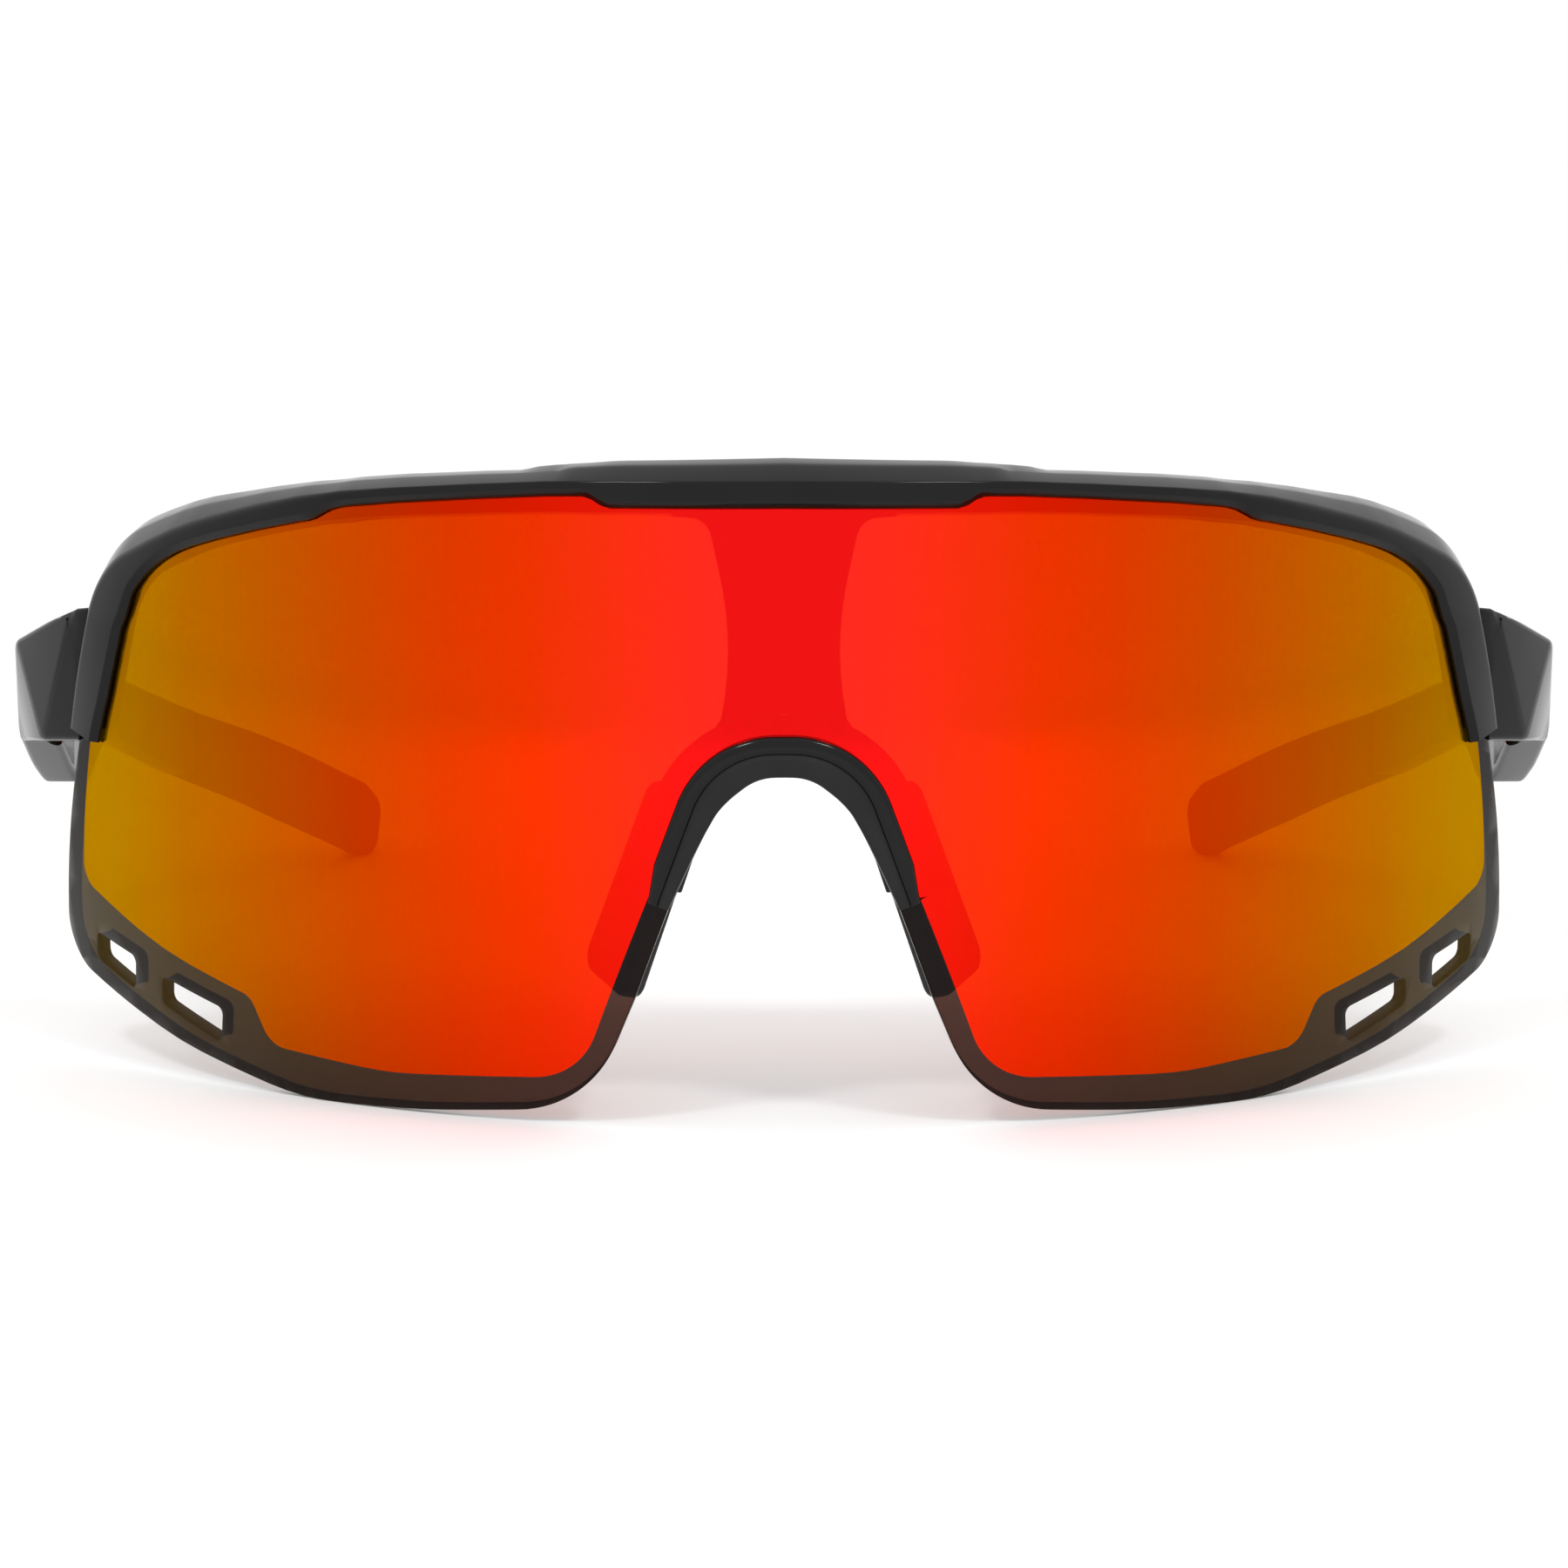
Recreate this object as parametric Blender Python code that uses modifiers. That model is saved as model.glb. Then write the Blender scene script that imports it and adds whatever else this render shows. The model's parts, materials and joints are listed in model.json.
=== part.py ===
"""Wraparound shield sunglasses: a half rim with a centre post, one cylindrical-toric lens,
a nose saddle with two pads, and two folding temples with rubber grips.

The shapes that follow the lens are drawn on the lens laid flat: s runs along the lens, h up
it and n through it, from its outer surface inwards. bend() lays them on the real surface.
The face looks along -Y, +X is the wearer's left, and the whole stands at rest on the lens's
lower edge and the temple tips. All sizes are in metres.
"""

import math

import bmesh
import bpy
import numpy as np
from mathutils import Matrix, Vector

MM = 0.001
NAME = "wraparound_sunglasses"

# Clearances
SEAT_GAP = 0.3 * MM          # between pieces that seat on each other
RUNNING_GAP = 0.05 * MM      # round a turning shaft, on the radius
INSERT_GAP = 0.15 * MM       # round a pressed insert, on the radius

# Lens surface and outline
LENS_RADIUS = 80 * MM        # horizontal wrap
LENS_CAMBER = 110 * MM       # vertical curvature
LENS_TILT = math.radians(8)  # top leans towards the front
LENS_THICK = 1.4 * MM
LENS_TOP = 25.8 * MM
LENS_BOTTOM = -32.1 * MM
LENS_HALF_ARC = 84.8 * MM    # flat half width at the widest corner
LENS_CELL = 5 * MM           # length of one flat facet of the bent lens

# Lens edge above the side rims: each corner is in from the widest corner or below the top
BROW_CORNERS = (             # in from the widest corner, below the top, radius
    (62.8 * MM, 0.15 * MM, 200 * MM),
    (39.8 * MM, 1.9 * MM, 90 * MM),
    (22.8 * MM, 6.2 * MM, 60 * MM),
)
SIDE_TOP_DROP = 10.8 * MM    # where the edge turns down the side
SIDE_TOP_RADIUS = 8 * MM
SIDE_FOOT_IN = 7.9 * MM      # foot of the side, in from the widest corner
SIDE_FOOT = 0.5 * MM         # and its height
SIDE_FOOT_RADIUS = 60 * MM
SIDE_SLOPE = 0.255
# Lens edge below the sides
CHEEK_RISE = 10.15 * MM      # height of the widest corner above the lowest edge
CHEEK_RADIUS = 4.5 * MM
LOWER_CORNERS = (            # in from the widest corner, above the lowest edge, radius
    (18.8 * MM, 3.65 * MM, 60 * MM),
    (34.8 * MM, -0.05 * MM, 34 * MM),
    (48.8 * MM, 0.2 * MM, 80 * MM),
)
NOSE_TOE = (4.8 * MM, 1.5 * MM, 12 * MM)   # beyond the nose foot, above the lowest edge, radius
NOSE_FOOT_RADIUS = 20 * MM

# Nose cut-out of the lens, half of it
NOSE_TOP = 2.5 * MM          # crown of the arch
NOSE_SHOULDER = 5.9 * MM     # where the arch's crown line meets its leg line
NOSE_CROWN_RADIUS = 7.4 * MM
SEAT_END = (10.95 * MM, -10.9 * MM)   # lower end of the saddle's seat
SEAT_STEP = 0.75 * MM        # lens edge steps out below the saddle
NOSE_FOOT = (13.7 * MM, -20.0 * MM)

# Vent slots: low inner corner (s, h), width, inner and outer height
VENTS = (
    (72.0 * MM, -24.0 * MM, 6.3 * MM, 3.3 * MM, 2.7 * MM),
    (59.6 * MM, -27.6 * MM, 8.0 * MM, 3.4 * MM, 2.7 * MM),
)
VENT_SLOPE = 0.35            # rise of the lower side
VENT_RAKE = 0.33             # lean of the short sides
VENT_RADIUS = 0.7 * MM

# Rim section, measured from the lens edge (v outwards, n inwards)
RIM_FRONT = 1.0 * MM         # front face stands proud of the lens
RIM_BACK = 2.2 * MM          # rear flange thickness
RIM_FACE_RISE = 0.6 * MM     # front face above the lens edge
RIM_LIP = 0.5 * MM           # bevelled strip beside the lens
RIM_STEP = 3.0 * MM          # longest facet along the rim
RIM_END = -0.3 * MM          # height of the rim's lower ends
RIM_SHOULDER = 0.62          # share of the rise at which the top starts to round over
# along the rim from its middle: distance, front lap, rear lap, rise of the rounded top
RIM_SECTIONS = (
    (0.0, 1.65, 1.9, 3.5),
    (15.9, 1.60, 1.8, 3.2),
    (18.2, 0.50, 1.8, 3.0),
    (22.5, 0.50, 1.7, 2.75),
    (24.5, 0.50, 1.65, 2.5),
    (43.2, 0.50, 1.4, 2.7),
    (45.0, 1.40, 1.3, 2.75),
    (57.0, 1.25, 0.9, 3.65),
    (66.0, 1.25, 0.6, 4.55),
    (70.7, 1.60, 0.5, 4.95),
    (76.0, 4.30, 0.5, 4.8),
    (78.1, 4.60, 0.5, 4.6),
    (83.0, 3.80, 0.5, 4.1),
    (86.5, 3.30, 0.5, 3.6),
    (92.0, 2.60, 0.5, 3.2),
)

# Centre post behind the lens
POST_HALF_TOP = 7.2 * MM
POST_HALF_WAIST = 4.6 * MM
POST_HALF_FOOT = 5.9 * MM
POST_WAIST_HEIGHT = 11.5 * MM
POST_THICK = 1.5 * MM
POST_GAP = 0.4 * MM          # between the lens and the post
POST_SHOULDER = 3.4 * MM     # the post's top is this much wider, inside the rim
POST_TOP_DEPTH = 1.0 * MM    # top of the post below the lens edge
POST_SHOULDER_DEPTH = 2.1 * MM
POST_SHOULDER_FALL = 0.2 * MM
POST_SHOULDER_RADIUS = 2.2 * MM
POST_WAIST_RADIUS = 30 * MM

# Nose saddle: a channel on the nose cut-out, with an arm for each pad
SADDLE_LAP = 1.75 * MM
SADDLE_LAP_END = 1.1 * MM
SADDLE_SHOULDER = 3.4 * MM   # length of the narrowed end of each leg
SADDLE_OVER = 1.87 * MM      # bulk beyond the lens edge at the crown
SADDLE_OVER_END = 0.83 * MM
SADDLE_SWELL = 0.35 * MM     # more bulk at the arch's shoulders
SADDLE_SWELL_AT = 0.62       # share of the way from a leg's end to the crown
SADDLE_BEAD = 1.3 * MM       # bead proud of the lens
SADDLE_REAR_LAP = 3.4 * MM
SADDLE_REAR_LAP_END = 4.6 * MM
SADDLE_REAR = 1.5 * MM       # rear flange thickness
SADDLE_ROUND = 0.45 * MM

# Nose pads: a plate each, splayed to the sides of the nose
PAD_TOP = -3.6 * MM
PAD_FOOT = -21.9 * MM
PAD_PROUD = 0.4 * MM         # front edge beyond the lens edge
PAD_WIDTH = 8.6 * MM
PAD_THICK = 2.4 * MM
PAD_SPLAY = math.radians(27)
PAD_FOOT_DROP = 1.0 * MM     # the rear corner hangs below the front corner
PAD_FLARE = 1.1 * MM         # and the pad is this much wider there
PAD_CORNER = 2.0 * MM
PAD_TIP_CORNERS = (0.6 * MM, 1.2 * MM)   # radii of the front edge's upper and lower corners
PAD_EDGE = 0.45 * MM
PAD_TOP_IN = 0.5 * MM        # the pad's upper end stands further towards the nose
ARM_THICK = 0.8 * MM
ARM_START = 1.5 * MM         # below the pad's upper end
ARM_LENGTH = 10.5 * MM
ARM_WIDTH = 6.0 * MM
ARM_ROOT = 2.0 * MM          # the arm reaches this far forward of the pad

# End piece (lug) and hinge
BUTT_DEPTH = 13.9 * MM       # butt plane behind the rim's front corner
LUG_REACH = 7.05 * MM        # how far the lug stands outside the rim's front corner
LUG_TOP = 13.3 * MM
LUG_BOTTOM = 4.1 * MM
LUG_ROUND = 0.6 * MM
# corners of the lug's lower face, from above: out and back from the rim's front corner, or
# in from the temple's outer side and forward of the butt plane
LUG_LOW_RIM = ((-1.2 * MM, -0.3 * MM), (3.2 * MM, 3.6 * MM), (-2.0 * MM, 5.5 * MM))
LUG_LOW_SIDE = ((3.4 * MM, 5.8 * MM), (0.6 * MM, 0.0))
# corners of its upper face: out, back and up from the root of the lug on the rim
LUG_HIGH_RIM = (
    (-0.5 * MM, 0.6 * MM, 3.2 * MM),
    (1.6 * MM, 2.0 * MM, 3.1 * MM),
    (-2.0 * MM, 6.0 * MM, 2.6 * MM),
)
LUG_HIGH_SIDE = ((0.8 * MM, 5.8 * MM, 0.3 * MM), (0.0, 0.0, 0.0))
LUG_HIGH_BUTT = 1.2 * MM     # rise of the inner corner at the butt plane
LUG_INNER = 0.6 * MM         # the inner side stands this far outside the knuckles' inner side
LUG_ROOT = (2.0 * MM, 1.5 * MM)   # root of the lug's top, in and down from the rim's end
BRIDGE_REACH = 0.9 * MM      # the block beside a knuckle reaches this far past it
BRIDGE_DEPTH = 0.85          # share of the knuckle's radius that the block covers
KNUCKLE_RADIUS = 2.1 * MM
KNUCKLE_HEIGHT = 2.5 * MM
HINGE_INSET = 5.4 * MM       # hinge axis inside the temple's outer side
HINGE_BASE = 4.5 * MM
PIN_RADIUS = 0.7 * MM
SCREW_HEAD_RADIUS = 1.25 * MM
SCREW_HEAD_HEIGHT = 0.8 * MM
SCREW_HEAD_SINK = 0.55 * MM
INSERT_WALL = 0.5 * MM
INSERT_ROOF = 0.45 * MM
BORE_SIDES = 24

# Temple: distances behind the butt plane, heights above the lens's middle
TEMPLE_LENGTH = 111.5 * MM
TEMPLE_THICK_HEAD = 4.3 * MM
TEMPLE_THICK_ARM = 3.3 * MM
TEMPLE_ROUND = 0.6 * MM
TEMPLE_TOE_IN = 24.2 * MM    # how far the tip comes in from the head
GRIP_LENGTH = 60.5 * MM
GRIP_COVER = 1.3 * MM        # rubber above and below the core
CORE_THICK = 1.4 * MM
CORE_MARGIN = 7.0 * MM       # rubber beyond the core's end
CORE_ROOT = 3.0 * MM         # the core starts this far inside the bare arm
ARM_HEIGHT_ROOT = 6.1 * MM
ARM_STEP = 6 * MM            # longest facet along the arm
THIN_START = 8 * MM          # where the head starts to thin down to the arm
THIN_LENGTH = 28 * MM
HEAD_LEAN = 0.055            # the head's side leans in below its top
HEAD_NECK = 0.24             # share of the length at which the head ends
HEAD_CROWN = (0.13, 0.8 * MM, 40 * MM)   # share of the length, drop and radius of the head's top
HEAD_MARGIN = 0.1 * MM       # the head's front is this much lower than the lug's butt
# drop below the head: distance behind the butt, depth below the head, radius
HEAD_DROP = ((22.6 * MM, 0.0, 3 * MM), (18.0 * MM, 3.8 * MM, 1.3 * MM), (13.6 * MM, 4.0 * MM, 2.5 * MM))
ARM_START_SHARE = 0.30       # share of the length from which the arm's own edges run
TIP_ROUND = 2.4 * MM
TIP_LEAN = 2.2 * MM          # the tip's lower corner stands further forward
# arm's run in (share of the length, share of the toe-in) and its heights (share, height)
ARM_RUN = ((0, 0), (0.10, 0.01), (0.26, 0.16), (0.42, 0.33), (0.67, 0.60), (1.0, 1.0165))
ARM_RISE = ((0, 8.6 * MM), (0.26, 7.5 * MM), (0.42, 4.9 * MM), (0.67, 1.5 * MM), (1.0, -4.6 * MM))
ARM_HEIGHT_TIP = 7.9 * MM


# ---------------------------------------------------------------- small tools

def clear_scene():
    for obj in list(bpy.data.objects):
        bpy.data.objects.remove(obj, do_unlink=True)


def collection(name):
    made = bpy.data.collections.new(name)
    bpy.context.scene.collection.children.link(made)
    return made


def material(name, colour, roughness, metallic=0.0, alpha=1.0):
    made = bpy.data.materials.new(name)
    made.use_nodes = True
    shader = made.node_tree.nodes["Principled BSDF"]
    shader.inputs["Base Color"].default_value = (*colour, 1.0)
    shader.inputs["Roughness"].default_value = roughness
    shader.inputs["Metallic"].default_value = metallic
    shader.inputs["Alpha"].default_value = alpha
    made.diffuse_color = (*colour, alpha)
    return made


def add_object(name, bm, group, finish=None, smooth_angle=30):
    bmesh.ops.recalc_face_normals(bm, faces=bm.faces)
    if bm.calc_volume(signed=True) < 0:
        bmesh.ops.reverse_faces(bm, faces=bm.faces)
    mesh = bpy.data.meshes.new(name)
    bm.to_mesh(mesh)
    bm.free()
    if finish:
        mesh.materials.append(finish)
    mesh.shade_smooth()
    mesh.set_sharp_from_angle(angle=math.radians(smooth_angle))
    obj = bpy.data.objects.new(name, mesh)
    group.objects.link(obj)
    return obj


def tool_object(name, bm, tools):
    obj = add_object(name, bm, tools)
    obj.hide_render = True
    obj.display_type = "WIRE"
    return obj


def combine(target, operand, operation):
    cut = target.modifiers.new(operand.name, "BOOLEAN")
    cut.operation = operation
    cut.solver = "EXACT"
    cut.object = operand


def round_edges(obj, width, segments=2):
    edge = obj.modifiers.new("rounded_edges", "BEVEL")
    edge.width = width
    edge.segments = segments
    edge.limit_method = "ANGLE"
    edge.angle_limit = math.radians(40)


def mirrored(bm):
    """Turn a piece drawn for the wearer's left into its right-hand twin."""
    bmesh.ops.scale(bm, vec=(-1, 1, 1), verts=bm.verts)
    return bm


def for_side(bm, side):
    return bm if side > 0 else mirrored(bm)


def cylinder(radius, low, high, centre):
    bm = bmesh.new()
    at = Matrix.Translation((centre[0], centre[1], (low + high) / 2))
    bmesh.ops.create_cone(bm, cap_ends=True, segments=BORE_SIDES, radius1=radius, radius2=radius,
                          depth=high - low, matrix=at)
    return bm


def box(low, high):
    bm = bmesh.new()
    low, high = Vector(low), Vector(high)
    bmesh.ops.create_cube(bm, size=1.0)
    bmesh.ops.scale(bm, vec=high - low, verts=bm.verts)
    bmesh.ops.translate(bm, vec=(low + high) / 2, verts=bm.verts)
    return bm


def table(rows, column, at):
    """Read one column of a table of sections at a distance, straight between the rows."""
    xs = [row[0] for row in rows]
    return float(np.interp(at, xs, [row[column] for row in rows]))


def smooth_through(points, at):
    """Read a smooth curve through points (x, y) at one x."""
    xs = [p[0] for p in points]
    ys = [p[1] for p in points]
    i = int(np.clip(np.searchsorted(xs, at) - 1, 0, len(xs) - 2))
    slopes = np.gradient(ys, xs)
    width = xs[i + 1] - xs[i]
    t = (at - xs[i]) / width
    return float((2 * t**3 - 3 * t**2 + 1) * ys[i] + (t**3 - 2 * t**2 + t) * width * slopes[i]
                 + (3 * t**2 - 2 * t**3) * ys[i + 1] + (t**3 - t**2) * width * slopes[i + 1])


# ---------------------------------------------------------------- outlines

def rounded(corners, turn=math.radians(12)):
    """Points of an open outline: corners are (x, y, radius), and a radius makes an arc."""
    points = [Vector(corners[0][:2])]
    for before, corner, after in zip(corners, corners[1:], corners[2:]):
        at = Vector(corner[:2])
        back = (Vector(before[:2]) - at).normalized()
        ahead = (Vector(after[:2]) - at).normalized()
        bend_angle = math.pi - back.angle(ahead)
        radius = corner[2]
        if radius <= 0 or bend_angle < 1e-4:
            points.append(at)
            continue
        reach = radius * math.tan(bend_angle / 2)
        start = at + back * reach
        centre = at + (back + ahead).normalized() * (radius / math.cos(bend_angle / 2))
        spoke = start - centre
        sense = 1 if back.x * ahead.y - back.y * ahead.x < 0 else -1
        steps = max(2, math.ceil(bend_angle / turn))
        for k in range(steps + 1):
            angle = sense * bend_angle * k / steps
            points.append(centre + Matrix.Rotation(angle, 2) @ spoke)
    points.append(Vector(corners[-1][:2]))
    return points


def closed_rounded(corners, turn=math.radians(12)):
    """Points of a closed outline with rounded corners."""
    first, last = Vector(corners[0][:2]), Vector(corners[-1][:2])
    middle = (first + last) / 2
    run = [(*middle, 0), *corners, (*middle, 0)]
    return rounded(run, turn)[:-1]


def both_halves(half):
    """Close a right-hand half that starts and ends on the middle line."""
    left = [Vector((-p.x, p.y)) for p in reversed(half) if abs(p.x) > 1e-7]
    return list(half) + left


def lens_top_corners():
    brow = [(LENS_HALF_ARC - inward, LENS_TOP - drop, radius) for inward, drop, radius in BROW_CORNERS]
    side_top = LENS_TOP - SIDE_TOP_DROP
    side_foot = LENS_HALF_ARC - SIDE_FOOT_IN
    return [
        (0, LENS_TOP, 0),
        *brow,
        (side_foot - SIDE_SLOPE * (side_top - SIDE_FOOT), side_top, SIDE_TOP_RADIUS),
        (side_foot, SIDE_FOOT, SIDE_FOOT_RADIUS),
    ]


def nose_seat_corners():
    return [
        (*SEAT_END, 0),
        (NOSE_SHOULDER, NOSE_TOP, NOSE_CROWN_RADIUS),
        (0, NOSE_TOP, 0),
    ]


def lens_outline():
    seat_line = Vector(SEAT_END) - Vector((NOSE_SHOULDER, NOSE_TOP))
    along = seat_line.normalized()
    towards_nose = Vector((along.y, -along.x))
    step = Vector(SEAT_END) + towards_nose * SEAT_STEP + along * RUNNING_GAP
    cheeks = [(LENS_HALF_ARC - inward, LENS_BOTTOM + rise, radius) for inward, rise, radius in LOWER_CORNERS]
    lower = [
        (LENS_HALF_ARC, LENS_BOTTOM + CHEEK_RISE, CHEEK_RADIUS),
        *cheeks,
        (NOSE_FOOT[0] + NOSE_TOE[0], LENS_BOTTOM + NOSE_TOE[1], NOSE_TOE[2]),
        (*NOSE_FOOT, NOSE_FOOT_RADIUS),
        (step.x, step.y, 0),
    ]
    half = rounded(lens_top_corners() + lower + nose_seat_corners())
    return both_halves(half)


def vent_outline(vent, side):
    low_s, low_h, width, inner, outer = vent
    rise = width * VENT_SLOPE
    corners = [
        (low_s, low_h, VENT_RADIUS),
        (low_s + width, low_h + rise, VENT_RADIUS),
        (low_s + width - VENT_RAKE * outer, low_h + rise + outer, VENT_RADIUS),
        (low_s - VENT_RAKE * inner, low_h + inner, VENT_RADIUS),
    ]
    points = closed_rounded(corners, math.radians(30))
    return [Vector((p.x * side, p.y)) for p in points]


# ---------------------------------------------------------------- the lens surface

def bend(s, h, n):
    """Place of a flat point (s, h, n) on the toric lens surface."""
    across = s / LENS_RADIUS
    upward = h / LENS_CAMBER
    reach = LENS_RADIUS - LENS_CAMBER * (1 - math.cos(upward)) - n * math.cos(upward)
    flat = Vector((reach * math.sin(across), LENS_RADIUS - reach * math.cos(across),
                   (LENS_CAMBER - n) * math.sin(upward)))
    return Matrix.Rotation(LENS_TILT, 3, "X") @ flat


def bend_all(bm):
    for vert in bm.verts:
        vert.co = bend(*vert.co)
    return bm


def plate(outlines, low, high):
    """Closed plate of an outline with holes, from low to high, lying flat."""
    curve = bpy.data.curves.new("outline", "CURVE")
    curve.dimensions = "2D"
    curve.fill_mode = "BOTH"
    curve.extrude = (high - low) / 2
    for outline in outlines:
        spline = curve.splines.new("POLY")
        spline.points.add(len(outline) - 1)
        for point, place in zip(spline.points, outline):
            point.co = (place[0], place[1], 0, 1)
        spline.use_cyclic_u = True
    holder = bpy.data.objects.new("outline", curve)
    bpy.context.scene.collection.objects.link(holder)
    mesh = bpy.data.meshes.new_from_object(holder.evaluated_get(bpy.context.evaluated_depsgraph_get()))
    bm = bmesh.new()
    bm.from_mesh(mesh)
    bpy.data.objects.remove(holder)
    bpy.data.curves.remove(curve)
    bpy.data.meshes.remove(mesh)
    bmesh.ops.remove_doubles(bm, verts=bm.verts, dist=1e-6)
    bmesh.ops.dissolve_limit(bm, angle_limit=math.radians(0.5), verts=bm.verts, edges=bm.edges)
    bmesh.ops.translate(bm, vec=(0, 0, (low + high) / 2), verts=bm.verts)
    return bm


def slice_across(bm, axis, cell):
    """Cut a flat plate into strips, so that it can bend."""
    values = [vert.co[axis] for vert in bm.verts]
    direction = Vector((axis == 0, axis == 1, axis == 2))
    reach = max(abs(min(values)), abs(max(values)))
    count = math.ceil(reach / cell)
    for k in range(-count, count + 1):
        geometry = bm.verts[:] + bm.edges[:] + bm.faces[:]
        bmesh.ops.bisect_plane(bm, geom=geometry, dist=1e-6, plane_co=direction * (k * cell),
                               plane_no=direction)


def sweep(path, section_at):
    """Loft unlike sections along a flat path: section_at(distance) gives (v, n) points."""
    bm = bmesh.new()
    rings = []
    gone = 0.0
    for i, place in enumerate(path):
        gone += (place - path[i - 1]).length if i else 0.0
        ahead = (path[min(i + 1, len(path) - 1)] - path[max(i - 1, 0)]).normalized()
        outwards = Vector((-ahead.y, ahead.x))
        ring = []
        for v, n in section_at(gone):
            flat = place + outwards * v
            ring.append(bm.verts.new(bend(flat.x, flat.y, n)))
        rings.append(ring)
    for one, two in zip(rings, rings[1:]):
        for k in range(len(one)):
            bm.faces.new((one[k], one[k - 1], two[k - 1], two[k]))
    bm.faces.new(rings[0])
    bm.faces.new(reversed(rings[-1]))
    return bm


def resample(points, longest):
    """Add points to a path, so that no facet is longer than a step."""
    path = [points[0]]
    for one, two in zip(points, points[1:]):
        pieces = max(1, math.ceil((two - one).length / longest))
        path += [one.lerp(two, k / pieces) for k in range(1, pieces + 1)]
    return path


def path_length(path):
    return sum((two - one).length for one, two in zip(path, path[1:]))


# ---------------------------------------------------------------- lens

def make_lens(group, finish):
    outlines = [lens_outline()]
    outlines += [vent_outline(vent, side) for vent in VENTS for side in (1, -1)]
    bm = plate(outlines, 0, LENS_THICK)
    slice_across(bm, 0, LENS_CELL)
    slice_across(bm, 1, LENS_CELL)
    return add_object("lens", bend_all(bm), group, finish)


# ---------------------------------------------------------------- rim, post and lugs

def rim_path():
    """Lens edge from the right-hand lower end, over the top, to the left-hand one."""
    half = rounded(lens_top_corners())
    foot = half[-1]
    before = half[-2]
    reach = (RIM_END - foot.y) / (before.y - foot.y)
    half[-1] = foot.lerp(before, reach)
    half = add_stops(half, [row[0] * MM for row in RIM_SECTIONS])
    half = resample(half, RIM_STEP)
    left = [Vector((-p.x, p.y)) for p in reversed(half[1:])]
    return left + half


def add_stops(half, distances):
    """Put a point on the path at each of the distances where the section changes."""
    path = [half[0]]
    gone = 0.0
    for one, two in zip(half, half[1:]):
        length = (two - one).length
        for distance in distances:
            if gone + 0.1 * MM < distance < gone + length - 0.1 * MM:
                path.append(one.lerp(two, (distance - gone) / length))
        path.append(two)
        gone += length
    return path


def make_rim():
    path = rim_path()
    half_length = path_length(path) / 2
    groove_back = LENS_THICK + SEAT_GAP

    def section(gone):
        away = abs(gone - half_length) / MM
        front_lap = table(RIM_SECTIONS, 1, away) * MM
        rear_lap = table(RIM_SECTIONS, 2, away) * MM
        rise = table(RIM_SECTIONS, 3, away) * MM
        back = groove_back + RIM_BACK
        shoulder = RIM_FACE_RISE + RIM_SHOULDER * (rise - RIM_FACE_RISE)
        return [
            (SEAT_GAP, -SEAT_GAP),
            (-front_lap, -SEAT_GAP),
            (-front_lap, -RIM_FRONT + RIM_LIP / 2),
            (-front_lap + RIM_LIP, -RIM_FRONT),
            (RIM_FACE_RISE, -RIM_FRONT),
            (shoulder, 0.25 * back),
            (rise, 0.75 * back),
            (rise - RIM_LIP, back),
            (-rear_lap, back),
            (-rear_lap, groove_back),
            (SEAT_GAP, groove_back),
        ]

    return sweep(path, section)


def make_lens_clearance():
    """Room that the lens edge needs inside a lug, a little wider than the rim's own groove."""
    path = rim_path()
    beyond = (path[-1] - path[-2]).normalized() * 4 * MM
    path = [Vector((-(path[-1] + beyond).x, (path[-1] + beyond).y)), *path, path[-1] + beyond]
    room = 1.3 * SEAT_GAP
    front, back = -room, LENS_THICK + room
    return sweep(path, lambda gone: [(room, front), (-5 * MM, front), (-5 * MM, back), (room, back)])


def post_outline():
    foot = NOSE_TOP + SADDLE_REAR_LAP + SEAT_GAP
    crown = NOSE_CROWN_RADIUS + SADDLE_REAR_LAP + SEAT_GAP
    start = NOSE_SHOULDER - NOSE_CROWN_RADIUS * math.tan(nose_leg_turn() / 2)
    centre = Vector((start, NOSE_TOP - NOSE_CROWN_RADIUS))
    reach = math.sqrt(crown**2 - (POST_HALF_FOOT - centre.x)**2)
    top = LENS_TOP - POST_TOP_DEPTH
    half = [
        (0, top, 0),
        (POST_HALF_TOP + POST_SHOULDER, top, 0),
        (POST_HALF_TOP + POST_SHOULDER, LENS_TOP - POST_SHOULDER_DEPTH, 0),
        (POST_HALF_TOP, LENS_TOP - POST_SHOULDER_DEPTH - POST_SHOULDER_FALL, POST_SHOULDER_RADIUS),
        (POST_HALF_WAIST, POST_WAIST_HEIGHT, POST_WAIST_RADIUS),
        (POST_HALF_FOOT, centre.y + reach, 0),
    ]
    outline = rounded(half)
    arc_end = math.asin((POST_HALF_FOOT - centre.x) / crown)
    for k in (2, 1, 0):
        angle = arc_end * k / 3
        outline.append(centre + Vector((math.sin(angle), math.cos(angle))) * crown)
    outline.append(Vector((0, foot)))
    return both_halves(outline)


def nose_leg_turn():
    leg = Vector(SEAT_END) - Vector((NOSE_SHOULDER, NOSE_TOP))
    return math.atan2(-leg.y, leg.x)


def make_post():
    front = LENS_THICK + POST_GAP
    bm = plate([post_outline()], front, front + POST_THICK)
    slice_across(bm, 0, LENS_CELL)
    slice_across(bm, 1, LENS_CELL)
    return bend_all(bm)


def rim_corner():
    """Front corner of the rim's lower end, where the lug grows out."""
    end = rim_path()[-1]
    return bend(end.x, end.y, -RIM_FRONT)


def butt_plane():
    return rim_corner().y + BUTT_DEPTH


def temple_outer():
    return rim_corner().x + LUG_REACH


def hinge_axis():
    """Place of the wearer's left hinge axis, seen from above."""
    return (temple_outer() - HINGE_INSET, butt_plane() + SEAT_GAP / 2)


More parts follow.
